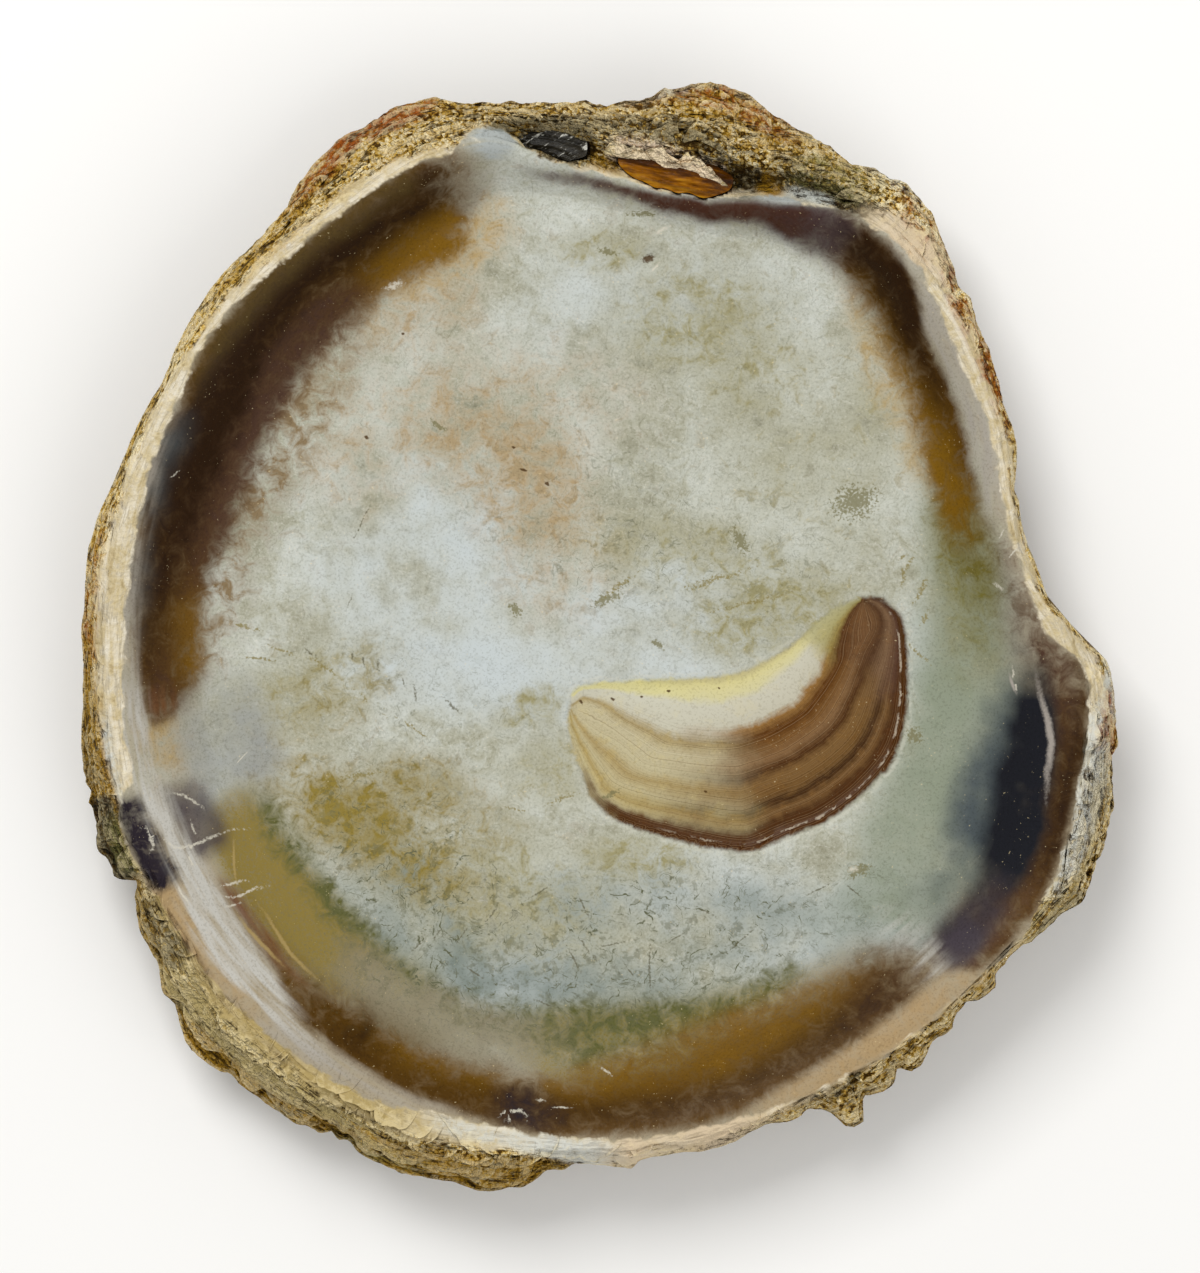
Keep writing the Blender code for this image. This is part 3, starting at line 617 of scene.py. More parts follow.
glazes = [
    {
        "name": "wallTan", "colour": "#A0937A", "grain": "mottle", "broken": 0.4,
        "soft": (22, 16),
        "arcs": [
            (0, 404, 540, 0.9), (12, 402, 540, 0.85), (22, 405, 540, 0.7), (50, 440, 540, 0.7),
            (60, 450, 540, 0.6), (64, 460, 540, 0), (101, 470, 540, 0), (107, 440, 540, 0.6),
            (125, 402, 540, 0.8), (180, 400, 540, 0.8), (198, 420, 540, 0.6),
            (206, 440, 540, 1), (256, 440, 540, 1), (290, 430, 560, 1), (310, 418, 560, 1),
            (317, 412, 560, 0.9), (326, 430, 560, 1), (345, 420, 560, 1),
        ],
    },
    {
        "name": "paleBlue", "colour": "#C0C7C6", "grain": "cloud", "broken": 0.6,
        "patches": [
            (430, 580, 110, 120, 20, 0.55), (640, 640, 150, 70, 20, 0.5),
            (640, 300, 130, 60, 0, 0.3), (480, 670, 140, 50, -10, 0.7),
            (940, 640, 30, 60, 0, 0.4), (510, 985, 70, 34, 10, 0.9),
            (890, 900, 60, 50, 0, 0.6), (700, 890, 130, 40, 0, 0.5),
            (800, 940, 70, 40, 20, 0.5),
        ],
    },
    {
        "name": "slateBlue", "colour": "#79827A", "grain": "cloud", "broken": 0.7,
        "patches": [
            (480, 960, 130, 50, -12, 0.6), (590, 985, 120, 40, 5, 0.6),
            (720, 930, 110, 45, 10, 0.5), (410, 900, 90, 50, -40, 0.5),
            (620, 910, 110, 40, 0, 0.4), (870, 930, 70, 50, 30, 0.3),
        ],
    },
    {
        "name": "warmStain", "colour": "#A99471", "grain": "mottle", "broken": 1.0,
        "patches": [
            (530, 480, 60, 95, 25, 0.7), (460, 430, 90, 55, -25, 0.5),
            (415, 300, 70, 50, 20, 0.4), (520, 400, 120, 60, 0, 0.3),
            (560, 560, 60, 60, 0, 0.3), (330, 420, 60, 90, 30, 0.3),
        ],
    },
    {
        "name": "oliveBeige", "colour": "#98916A", "grain": "mottle", "broken": 1.0,
        "patches": [
            (775, 612, 85, 38, 12, 0.7), (700, 320, 80, 55, 0, 0.5),
            (755, 370, 60, 50, 0, 0.45), (530, 710, 35, 22, 20, 0.6),
            (700, 555, 110, 40, -10, 0.45), (560, 770, 60, 35, 0, 0.4),
            (640, 860, 60, 25, 0, 0.6), (880, 400, 40, 80, 10, 0.3),
            (600, 250, 45, 20, 0, 0.5), (500, 890, 120, 60, -20, 0.45),
            (300, 690, 90, 40, 20, 0.4), (800, 480, 90, 90, 0, 0.25),
        ],
    },
    {
        "name": "yellowPatch", "colour": "#887635", "grain": "mottle", "broken": 0.8,
        "patches": [
            (350, 815, 85, 42, -22, 0.9), (420, 790, 60, 34, -15, 0.6),
            (395, 855, 90, 35, -25, 0.6), (290, 780, 50, 40, 0, 0.5),
            (470, 830, 50, 30, 0, 0.35), (330, 700, 80, 40, 25, 0.25),
        ],
    },
    {
        "name": "brownStain", "colour": "#857254", "grain": "mottle", "broken": 1.3,
        "soft": (26, 14),
        "arcs": [
            (126, 372, 404, 0), (134, 358, 404, 0.45), (144, 345, 398, 0.6),
            (155, 342, 392, 0.6), (166, 348, 392, 0.55), (174, 360, 400, 0.5),
            (182, 372, 404, 0.4), (188, 385, 410, 0),
        ],
    },
    {
        "name": "rightGreen", "colour": "#8A917D", "grain": "cloud", "broken": 0.4,
        "soft": (28, 22),
        "arcs": [
            (300, 340, 380, 0), (312, 338, 400, 0.3), (318, 335, 440, 0.75),
            (325, 322, 450, 0.9), (335, 316, 446, 0.95), (350, 316, 430, 0.95),
            (0, 320, 405, 0.9), (8, 326, 402, 0.8), (16, 335, 398, 0.55),
            (22, 340, 380, 0.3), (28, 345, 370, 0),
        ],
    },
    {
        "name": "greenOlive", "colour": "#716A31", "grain": "mottle", "broken": 0.5,
        "soft": (24, 12),
        "arcs": [
            (350, 350, 400, 0), (358, 346, 405, 0.4), (6, 345, 404, 0.7),
            (14, 346, 402, 0.85), (20, 350, 403, 0.95), (26, 362, 400, 0.6), (32, 372, 395, 0),
        ],
    },
    {
        "name": "ochreFade", "colour": "#AE976B", "grain": "mottle", "broken": 0.9,
        "soft": (18, 14),
        "arcs": [
            (22, 345, 372, 0), (29, 352, 384, 0.6), (38, 364, 400, 0.7),
            (46, 382, 416, 0.6), (52, 402, 428, 0.4), (58, 428, 442, 0),
            (100, 405, 440, 0), (104, 400, 458, 0.6), (109, 392, 428, 0.85),
            (116, 386, 414, 0.6), (124, 386, 406, 0.25), (130, 384, 400, 0),
            (188, 432, 465, 0), (191, 434, 470, 0.7), (196, 436, 464, 0.6),
            (198.5, 442, 458, 0),
        ],
    },
    {
        "name": "oliveField", "colour": "#86743A", "grain": "speckle", "broken": 0.35,
        "soft": (12, 12),
        "arcs": [
            (201.5, 392, 424, 0), (204.5, 382, 434, 0.8), (208, 376, 442, 1),
            (214, 372, 448, 1), (224, 374, 450, 1), (232, 380, 448, 0.95),
            (238, 384, 442, 0.6), (246, 388, 432, 0.35), (256, 385, 424, 0.3),
            (262, 378, 442, 0.65), (270, 376, 458, 0.8), (282, 376, 450, 0.8),
            (292, 380, 440, 0.75), (300, 388, 430, 0.6), (305, 395, 422, 0.3),
            (309, 400, 415, 0),
        ],
    },
    {
        "name": "oliveEdge", "colour": "#5A5A2E", "grain": "mottle", "broken": 1.0,
        "soft": (12, 16),
        "arcs": [
            (202, 372, 388, 0), (207, 362, 386, 0.7), (220, 362, 390, 0.8),
            (232, 370, 398, 0.8), (245, 380, 408, 0.55), (258, 374, 414, 0.6),
            (268, 366, 428, 0.75), (284, 366, 424, 0.7), (298, 370, 404, 0.6), (303, 378, 395, 0),
        ],
    },
    {
        "name": "greyTan", "colour": "#857C64", "grain": "cloud", "broken": 0.6,
        "soft": (16, 14),
        "arcs": [
            (227, 394, 446, 0), (233, 394, 448, 0.7), (244, 392, 450, 0.9),
            (256, 390, 448, 0.75), (264, 386, 430, 0.4), (270, 380, 420, 0),
            (296, 395, 425, 0), (303, 395, 428, 0.5), (309, 400, 430, 0.4), (314, 405, 430, 0),
        ],
    },
    {
        "name": "tanShelf", "colour": "#A68C64", "grain": "mottle", "broken": 0.5,
        "soft": (10, 8),
        "arcs": [
            (206, 488, 520, 0), (210, 490, 520, 0.9), (218, 492, 520, 0.8),
            (226, 500, 520, 0.5), (232, 504, 520, 0), (284, 494, 508, 0),
            (292, 484, 508, 0.7), (300, 476, 508, 0.85), (310, 478, 508, 0.85),
            (317, 485, 510, 0.6), (322, 500, 512, 0),
        ],
    },
    {
        "name": "goldenBrown", "colour": "#553906", "grain": "mottle", "broken": 0.35,
        "soft": (20, 8),
        "arcs": [
            (103, 455, 502, 0), (106, 446, 505, 0.4), (109, 428, 506, 0.85),
            (112, 412, 504, 1), (118, 407, 499, 1), (125, 404, 491, 1), (135, 400, 490, 1),
            (145, 394, 489, 1), (150, 388, 481, 1), (158, 384, 477, 1), (165, 384, 473, 1),
            (172, 396, 472, 1), (180, 398, 464, 1), (186, 405, 464, 1),
            (190, 424, 463, 0.85), (191.4, 436, 460, 0.25), (193, 440, 458, 0),
            (213, 446, 458, 0), (216, 446, 458, 0.6), (226, 446, 464, 0.75),
            (230, 444, 484, 0.9), (236, 443, 492, 1), (245, 446, 494, 1), (256, 450, 496, 1),
            (264, 448, 500, 1), (272, 440, 498, 1), (282, 425, 498, 1), (288, 412, 492, 1),
            (296, 412, 480, 1), (306, 418, 478, 1), (311, 420, 477, 0.9),
            (314, 430, 478, 0.5), (316.5, 440, 480, 0.15), (318, 450, 502, 0.4),
            (321, 455, 512, 0.9), (328, 465, 515, 1), (334, 468, 509, 1), (340, 460, 501, 1),
            (346, 450, 497, 1), (352, 446, 491, 0.95), (357, 440, 484, 0.5),
            (1, 430, 460, 0.15), (5, 420, 440, 0), (8, 356, 400, 0), (14, 360, 402, 0.3),
            (18, 363, 404, 0.55), (21, 366, 407, 0.75), (25, 370, 412, 0.95),
            (30, 377, 420, 1), (35, 386, 428, 1), (40, 399, 438, 1), (45, 408, 452, 1),
            (50, 420, 477, 1), (54, 430, 487, 1),
            (57, 440, 489, 0.9), (60, 446, 487, 0.6), (63, 448, 478, 0),
        ],
    },
    {
        "name": "goldGlow", "colour": "#76540A", "grain": "mottle", "broken": 0.5,
        "soft": (12, 16),
        "arcs": [
            (107, 408, 445, 0), (110, 408, 455, 0.9), (114, 406, 450, 1),
            (120, 406, 436, 0.95), (126, 404, 424, 0.5), (133, 400, 415, 0.2), (140, 396, 410, 0),
            (172, 398, 430, 0), (176, 396, 428, 0.8), (184, 402, 428, 0.6), (188, 410, 430, 0),
            (232, 444, 462, 0), (238, 446, 464, 0.3), (246, 450, 470, 0.5),
            (254, 452, 470, 0.45), (262, 448, 466, 0.3), (270, 425, 462, 0.6),
            (278, 405, 458, 0.5), (284, 396, 455, 0.7), (290, 396, 452, 0.75),
            (296, 400, 450, 0.6), (303, 405, 450, 0.5), (309, 415, 445, 0.15),
            (313, 420, 440, 0), (12, 362, 390, 0), (20, 364, 396, 0.9), (28, 372, 398, 0.95),
            (36, 386, 402, 0.7), (44, 402, 418, 0.65), (50, 417, 432, 0.5),
            (54, 430, 444, 0.3), (58, 440, 450, 0),
        ],
    },
    {
        "name": "mauveBrown", "colour": "#4D3527", "grain": "mottle", "broken": 0.6,
        "soft": (18, 14),
        "arcs": [
            (122, 404, 425, 0), (127, 402, 442, 0.7), (135, 398, 446, 0.85),
            (145, 390, 446, 0.9), (155, 384, 440, 0.85), (165, 384, 440, 0.75),
            (171, 398, 446, 0.45), (178, 404, 444, 0.2), (183, 422, 455, 0.4),
            (188, 430, 461, 0.6), (190.8, 438, 460, 0.5), (192, 442, 458, 0),
            (300, 430, 470, 0), (306, 432, 472, 0.35), (312, 430, 474, 0.3),
            (316, 440, 478, 0.1), (319, 452, 505, 0.5), (325, 456, 512, 0.45),
            (332, 460, 510, 0.3), (345, 455, 490, 0.35), (352, 440, 488, 0.5),
            (357, 425, 472, 0.65), (1, 412, 446, 0.55), (6, 402, 430, 0.4),
            (11, 402, 420, 0.45), (16, 402, 415, 0.2), (20, 405, 418, 0),
            (54, 440, 486, 0), (58, 444, 487, 0.6), (62, 442, 484, 0.9), (67, 446, 470, 0.9),
            (73, 440, 456, 0.6), (80, 432, 446, 0.6), (90, 446, 458, 0.5), (97, 466, 478, 0),
        ],
    },
    {
        "name": "darkBrown", "colour": "#281400", "grain": "mottle", "broken": 0.45,
        "soft": (16, 9),
        "arcs": [
            (107, 470, 498, 0), (110, 462, 498, 0.7), (114, 452, 494, 0.8),
            (120, 448, 488, 0.9), (130, 444, 484, 1), (140, 438, 484, 1), (147, 420, 476, 1),
            (155, 412, 472, 1), (163, 412, 466, 0.95), (170, 420, 462, 0.8),
            (178, 432, 458, 0.6), (184, 440, 460, 0.4), (188, 445, 460, 0),
            (229, 452, 486, 0), (232, 450, 488, 0.2), (236.5, 446, 489, 0.35),
            (239, 444, 486, 0.6), (241, 448, 488, 0.3), (244, 462, 491, 0.2),
            (250, 466, 492, 0.3), (256, 466, 494, 0.3), (262, 466, 492, 0.4),
            (270, 464, 488, 0.4), (280, 460, 488, 0.4), (288, 456, 480, 0.35),
            (296, 445, 472, 0.4), (304, 440, 470, 0.5), (310, 440, 470, 0.4),
            (314, 445, 470, 0), (329, 485, 510, 0), (334, 488, 508, 0.75),
            (340, 478, 502, 0.8), (346, 474, 496, 0.85), (351, 470, 490, 0.6),
            (356, 466, 482, 0.3), (359, 462, 475, 0), (30, 400, 414, 0),
            (36, 408, 428, 0.55), (41, 415, 436, 0.9), (46, 426, 456, 1), (51, 440, 480, 1),
            (56, 452, 488, 0.95), (60, 462, 486, 0.5), (63, 468, 478, 0),
        ],
    },
    {
        "name": "oliveShade", "colour": "#4F3D18", "grain": "mottle", "broken": 0.5,
        "soft": (10, 5),
        "arcs": [
            (110, 486, 506, 0), (113, 482, 503, 0.7), (120, 474, 496, 0.75),
            (130, 470, 490, 0.8), (140, 470, 490, 0.75), (146, 470, 487, 0.5), (151, 466, 480, 0),
        ],
    },
    {
        "name": "slateHaze", "colour": "#4B5355", "grain": "cloud", "broken": 0.5,
        "soft": (18, 14),
        "arcs": [
            (150, 458, 476, 0), (156, 456, 478, 0.45), (168, 456, 472, 0.5),
            (178, 456, 470, 0.35), (184, 458, 470, 0), (317, 400, 445, 0),
            (324, 404, 452, 0.4), (330, 398, 452, 0.85), (338, 390, 446, 1),
            (346, 388, 436, 0.95), (353, 394, 430, 0.7), (359, 400, 424, 0.25),
            (4, 400, 420, 0),
        ],
    },
    {
        "name": "violetBlack", "colour": "#1A1B21", "grain": "cloud", "broken": 0.35,
        "soft": (12, 10),
        "arcs": [
            (317, 450, 486, 0),
            (320, 448, 486, 0.7), (323.5, 450, 486, 0.7), (327, 446, 484, 0.8),
            (331, 436, 487, 1), (336, 428, 485, 1), (341, 420, 475, 1),
            (347, 414, 466, 1), (351, 416, 458, 0.95), (354.5, 420, 450, 0.7),
            (358, 424, 440, 0),
        ],
    },
    {
        "name": "violetDark", "colour": "#251E25", "grain": "mottle", "broken": 0.6,
        "soft": (9, 6),
        "arcs": [
            (198.4, 484, 510, 0), (199.8, 482, 512, 0.9), (204, 481, 512, 0.9),
            (207, 480, 512, 1), (209, 481, 511, 0.95), (210.4, 484, 508, 0),
            (255.5, 462, 490, 0), (258.5, 458, 494, 0.6), (261.5, 454, 496, 0.7),
            (264.5, 462, 492, 0.25), (267, 466, 488, 0),
        ],
    },
    {
        "name": "violetInner", "colour": "#433B42", "grain": "cloud", "broken": 0.45,
        "soft": (13, 9),
        "arcs": [
            (198.3, 432, 466, 0), (200.3, 424, 464, 0.7), (204, 420, 465, 0.85),
            (208.5, 420, 465, 0.95), (210.7, 430, 460, 0), (57, 450, 484, 0),
            (60, 446, 486, 0.6), (64, 444, 476, 0.8), (70, 446, 464, 0.6),
            (76, 436, 450, 0.3), (84, 434, 446, 0), (315, 455, 480, 0), (318, 455, 492, 0.7),
            (323, 455, 492, 0.6), (328, 458, 490, 0.3), (331, 460, 485, 0),
        ],
    },
    {
        "name": "greyHaze", "colour": "#8C8E8C", "grain": "cloud", "broken": 0.5,
        "soft": (22, 20),
        "arcs": [
            (184, 350, 400, 0), (189, 342, 418, 0.5), (195, 338, 428, 0.7),
            (201, 345, 426, 0.65), (205, 360, 418, 0.3), (208, 370, 410, 0),
        ],
    },
    {
        "name": "lavender", "colour": "#A29B8F", "grain": "rings", "broken": 0.7,
        "soft": (8, 8),
        "arcs": [
            (14, 402, 420, 0), (20, 408, 430, 0.5), (30, 423, 443, 0.75),
            (38, 437, 458, 0.75), (45, 455, 472, 0.75), (50, 479, 487, 0.6), (54, 488, 492, 0),
            (150, 474, 482, 0), (160, 466, 478, 0.4), (175, 462, 474, 0.5),
            (184, 462, 478, 0.7), (192, 464, 484, 0.6), (198, 468, 484, 0),
            (226, 496, 514, 0), (231, 496, 515, 0.75), (240, 496, 514, 0.7),
            (250, 496, 510, 0.45), (256, 496, 506, 0),
        ],
    },
    {
        "name": "purpleLine", "colour": "#422619", "grain": "mottle", "broken": 0.3,
        "soft": (6, 4),
        "arcs": [
            (60, 448, 482, 0), (64, 444, 473, 0.8), (68, 446, 464, 0.95),
            (72, 438, 455, 1), (76, 429, 448, 1), (80, 429, 446, 0.95),
            (84, 435, 448, 0.9), (88, 443, 454, 0.85), (92, 450, 461, 0.75),
            (96, 458, 469, 0.55), (100, 468, 479, 0),
        ],
    },
    {
        "name": "redStripe", "colour": "#6B4526", "grain": "rings", "broken": 0.8,
        "soft": (4, 4),
        "arcs": [
            (212, 446, 456, 0), (216, 446, 457, 0.7), (224, 447, 458, 0.8), (231, 448, 460, 0),
            (186, 424, 462, 0), (189, 426, 462, 0.5), (191, 432, 460, 0),
        ],
    },
    # a painted reflection of soft light on the curved rim, mostly at the lower left
    {
        "name": "paintedRimReflection", "colour": "#BBB8AF", "grain": "rings", "broken": 1.2,
        "soft": (12, 10),
        "arcs": [
            (184, 466, 484, 0), (188, 464, 486, 0.45), (194, 462, 486, 0.6),
            (200, 462, 482, 0.65), (205, 462, 481, 0.75), (209, 462, 486, 0.75),
            (213, 464, 494, 0.8), (218, 462, 500, 0.8), (223, 464, 502, 0.75),
            (228, 474, 503, 0.55), (234, 490, 504, 0.25), (238, 494, 504, 0),
            (313, 400, 470, 0), (315.5, 395, 480, 0.25), (317, 400, 480, 0.2), (319, 410, 470, 0),
        ],
    },
    {
        "name": "pearlTubercle", "colour": "#A8ADAA", "grain": "rings", "broken": 0.9,
        "soft": (10, 10),
        "arcs": [
            (98.8, 494, 510, 0), (100, 492, 514, 0.9), (103, 490, 518, 1), (105.4, 498, 514, 0),
        ],
        "patches": [(822, 197, 20, 9, -18, 1.2), (790, 200, 30, 5, -4, 0.7)],
    },
]

# The scaly and chalky margin beyond the smooth ring
marginGlazes = [
    {
        "name": "olive", "colour": "#A27A1C", "grain": "crumb", "broken": 1.1,
        "soft": (6, 4),
        "arcs": [
            (58, 515, 580, 0), (62, 508, 570, 0.5), (75, 505, 580, 0.45), (95, 505, 580, 0.5),
            (104, 512, 590, 0.35), (118, 515, 590, 0.3), (128, 500, 560, 0.5),
            (140, 504, 560, 0.3), (170, 506, 560, 0.3), (180, 508, 560, 0.6),
            (186, 507, 570, 0.8), (194, 505, 570, 0.9), (208, 518, 600, 0.7),
            (222, 556, 600, 0.75), (240, 552, 600, 0.8), (252, 535, 600, 0.8),
            (262, 525, 590, 0.75), (268, 525, 560, 0.4), (273, 522, 560, 0),
            (284, 515, 560, 0.15), (292, 506, 560, 0.35), (308, 506, 560, 0.4),
            (319, 508, 560, 0.4), (326, 515, 570, 0.2), (336, 528, 570, 0.2),
            (346, 520, 560, 0.2), (356, 510, 530, 0),
        ],
    },
    {
        "name": "greyTanChalk", "colour": "#B5A26C", "grain": "sheets", "broken": 0.9,
        "soft": (5, 4),
        "arcs": [
            (206, 510, 550, 0), (216, 520, 556, 0.5), (222, 528, 562, 0.9),
            (236, 528, 562, 0.9), (244, 530, 556, 0.5), (252, 536, 560, 0), (322, 505, 548, 0),
            (328, 505, 545, 0.5), (340, 505, 535, 0.4), (354, 500, 520, 0),
        ],
    },
    {
        "name": "tanLamella", "colour": "#AD9863", "grain": "sheets", "broken": 0.7,
        "soft": (5, 5),
        "arcs": [
            (208, 500, 515, 0), (211, 500, 520, 0.9), (219, 500, 524, 0.95),
            (224, 504, 534, 0.9), (238, 506, 538, 0.95), (246, 508, 534, 0.8),
            (253, 505, 528, 0.3), (258, 505, 520, 0),
        ],
    },
    {
        "name": "whiteChalk", "colour": "#CDCDC3", "grain": "crumb", "broken": 0.8,
        "soft": (4, 4),
        "arcs": [
            (188, 498, 508, 0), (191, 498, 509, 0.7), (199, 500, 509, 0.5), (201, 502, 509, 0),
            (250, 504, 516, 0), (253.5, 503, 520, 0.7), (259, 500, 514, 0.6),
            (264, 497, 520, 1), (270, 504, 534, 0.95), (273.5, 510, 534, 0),
            (328, 500, 525, 0), (334, 503, 532, 0.8), (345, 496, 528, 0.85),
            (350, 492, 520, 0.8), (353, 504, 530, 0.8), (357, 505, 530, 0.6),
            (358, 500, 520, 0),
            (48, 530, 560, 0), (52, 541, 560, 0.5), (61, 540, 560, 0.5), (64, 540, 560, 0),
            (79, 555, 570, 0), (81, 549, 565, 0.6), (86, 534, 545, 0.5), (88, 530, 540, 0),
        ],
    },
    {
        "name": "rust", "colour": "#9A4F12", "grain": "mottle", "broken": 1.2,
        "soft": (7, 6),
        "arcs": [
            (25, 450, 470, 0), (31, 456, 476, 0.4), (34.5, 462, 482, 0.6),
            (39, 470, 490, 0.45), (43, 480, 500, 0.4), (50, 505, 528, 0.5), (54, 515, 540, 0.3),
            (58, 520, 540, 0), (68, 525, 550, 0), (72, 530, 556, 0.6), (77, 540, 566, 0.6),
            (82, 535, 556, 0.25), (90, 520, 534, 0), (106, 545, 566, 0),
            (109, 548, 572, 0.7), (112.5, 546, 572, 1), (115.5, 546, 570, 0.6),
            (119, 538, 566, 1), (122, 532, 556, 0.5), (128, 520, 530, 0),
            (160, 503, 512, 0), (176, 506, 520, 0.35), (181, 506, 520, 0.35), (184, 510, 520, 0),
            (346, 508, 530, 0), (349, 510, 528, 0.6), (353, 506, 520, 0.45), (356, 500, 515, 0),
        ],
    },
    # dark in the hollows of the margin and between its flakes, as painted shade; over the hinge it
    # is also the plate's own dark porous colour
    {
        "name": "darkHollow", "colour": "#33270F", "grain": "crumb", "broken": 1.1,
        "soft": (5, 5),
        "arcs": [
            (56, 492, 512, 0), (59, 486, 510, 1), (62, 486, 510, 0.95), (66, 484, 506, 0.85),
            (69, 480, 500, 0.6), (70.6, 467, 492, 1), (74, 467, 491, 0.9),
            (75.4, 490, 508, 0.5), (77, 492, 518, 0.65), (82, 496, 520, 0.65),
            (87, 502, 520, 0.55), (90, 496, 524, 0.55), (92, 470, 524, 0.8), (98, 480, 524, 0.75),
            (101, 505, 526, 0.5), (104, 515, 525, 0), (291.6, 498, 508, 0),
            (294, 498, 508, 0.8), (295.5, 500, 512, 0.4), (297, 506, 516, 0.8),
            (298.6, 505, 515, 0.4), (300.3, 494, 514, 0.85), (302, 496, 512, 0),
            (209, 522, 536, 0), (211.5, 524, 537, 0.6), (214, 516, 546, 0.5),
            (217, 518, 546, 0.6), (218, 520, 540, 0), (263, 522, 535, 0), (266, 522, 535, 0.6),
            (268.5, 520, 530, 0), (324, 526, 556, 0), (327, 528, 560, 0.6), (332, 536, 560, 0.6),
            (333, 540, 556, 0), (339, 518, 536, 0), (342.5, 518, 536, 0.45), (346, 518, 534, 0),
        ],
    },
    {
        "name": "blackCrust", "colour": "#29251A", "grain": "crumb", "broken": 0.7,
        "soft": (5, 4),
        "arcs": [
            (196.6, 515, 570, 0), (198.2, 514, 570, 0.95), (203, 515, 570, 0.9),
            (207.2, 516, 570, 0.95), (207.8, 516, 560, 0),
            (181, 516, 560, 0), (188, 520, 560, 0.4), (196, 524, 560, 0.45), (197, 522, 560, 0),
        ],
    },
    {
        "name": "greenGrey", "colour": "#7E7B45", "grain": "mottle", "broken": 0.9,
        "soft": (5, 5),
        "arcs": [
            (56, 495, 530, 0), (59.5, 495, 538, 0.4), (66, 490, 528, 0.4), (69, 488, 515, 0),
            (199.5, 512, 528, 0), (201.5, 512, 530, 0.6), (206.4, 514, 532, 0.6),
            (207.4, 514, 528, 0), (241, 545, 572, 0), (243, 556, 580, 0.4), (249, 556, 580, 0.4),
            (252, 550, 575, 0),
        ],
    },
    {
        "name": "pearlShelf", "colour": "#BCC0B9", "grain": "cloud", "broken": 0.4,
        "soft": (4, 4),
        "arcs": [
            (60.5, 482, 496, 0), (62.5, 480, 494, 0.9), (66.5, 477, 490, 0.9),
            (68, 474, 482, 0.3), (69.5, 470, 478, 0),
        ],
    },
    {
        "name": "hornGold", "colour": "#8F6A14", "grain": "mottle", "broken": 0.6,
        "soft": (4, 4),
        "arcs": [
            (66.5, 474, 482, 0), (68, 473, 484, 0.8), (70.4, 470, 494, 0.8), (71, 480, 500, 0),
            (86.5, 462, 478, 0), (88, 462, 480, 0.8), (91, 466, 482, 0.8), (92.2, 470, 484, 0),
        ],
    },
    {
        "name": "pinkRidge", "colour": "#F0DABF", "grain": "crumb", "broken": 0.9,
        "soft": (5, 6),
        "arcs": [
            (73.8, 464, 478, 0), (74.8, 463, 484, 0.9), (80, 467, 490, 0.95),
            (85, 472, 497, 0.95), (87.5, 474, 500, 0.95), (89.4, 476, 496, 0),
        ],
    },
    {
        "name": "pinkCream", "colour": "#CFBB9C", "grain": "cloud", "broken": 0.5,
        "soft": (8, 8),
        "arcs": [
            (44, 482, 515, 0), (48, 484, 518, 0.6), (57, 486, 514, 0.5), (60, 488, 510, 0),
            (268, 498, 530, 0), (273, 496, 540, 0.8), (287, 492, 530, 0.8), (292, 490, 510, 0.4),
            (298, 490, 506, 0),
        ],
    },
]

# Where the smooth glassy ring ends and the chalky margin begins: (angle, pixel radius)
ringEdge = [
    (0, 448), (5, 432), (10, 424), (16, 421), (22, 430), (30, 441), (35, 447), (40, 458),
    (45, 472), (50, 486), (55, 491), (60, 488), (62, 483), (65, 476), (68, 474), (70, 466),
    (73, 456), (80, 449), (85, 452), (90, 461), (95, 474), (99, 492), (101, 514), (104, 520),
    (107, 504), (110, 504), (115, 501), (120, 494), (130, 489), (140, 491), (145, 488),
    (150, 481), (158, 478), (165, 474), (170, 472), (180, 474), (186, 478), (192, 483),
    (197, 486), (199, 505), (201, 513), (207, 515), (209.5, 514), (211, 512), (218, 515),
    (225, 516), (235, 515), (245, 512), (250, 503), (255, 499), (265, 500), (272, 502),
    (283, 500), (290, 500), (300, 502), (310, 505), (318, 508), (325, 516), (332, 512),
    (335, 510), (340, 505), (343, 497), (346, 498), (350, 493), (354, 490), (357, 478),
]

# Where the margin turns from smooth cream layers to rough crumbs
roughEdge = [
    (0, 476), (5, 445), (10, 438), (20, 437), (25, 453), (30, 459), (35, 468), (40, 479),
    (45, 491), (50, 514), (56, 514), (59, 492), (62, 488), (68, 480), (75, 465), (85, 465),
    (92, 470), (98, 490), (103, 524), (107, 512), (115, 514), (125, 506), (135, 503),
    (145, 500), (150, 501), (160, 500), (170, 503), (180, 506), (190, 507), (200, 512),
    (209, 516), (215, 518), (222, 530), (235, 534), (245, 536), (255, 526), (262, 521),
    (270, 530), (280, 520), (290, 508), (300, 506), (310, 507), (318, 510), (325, 518),
    (332, 514), (340, 507), (347, 504), (352, 512), (357, 500),
]

# Where the floor is crazed with fine dark veins: patches as above
veined = [
    (560, 960, 220, 80, 0, 0.9), (420, 900, 110, 70, -40, 0.7), (700, 920, 140, 60, 10, 0.7),
    (380, 820, 120, 70, -20, 0.5), (740, 560, 160, 90, 10, 0.4), (560, 500, 120, 130, 0, 0.35),
    (720, 330, 140, 100, 0, 0.25), (860, 900, 80, 60, 0, 0.3), (420, 700, 150, 60, -15, 0.35),
]

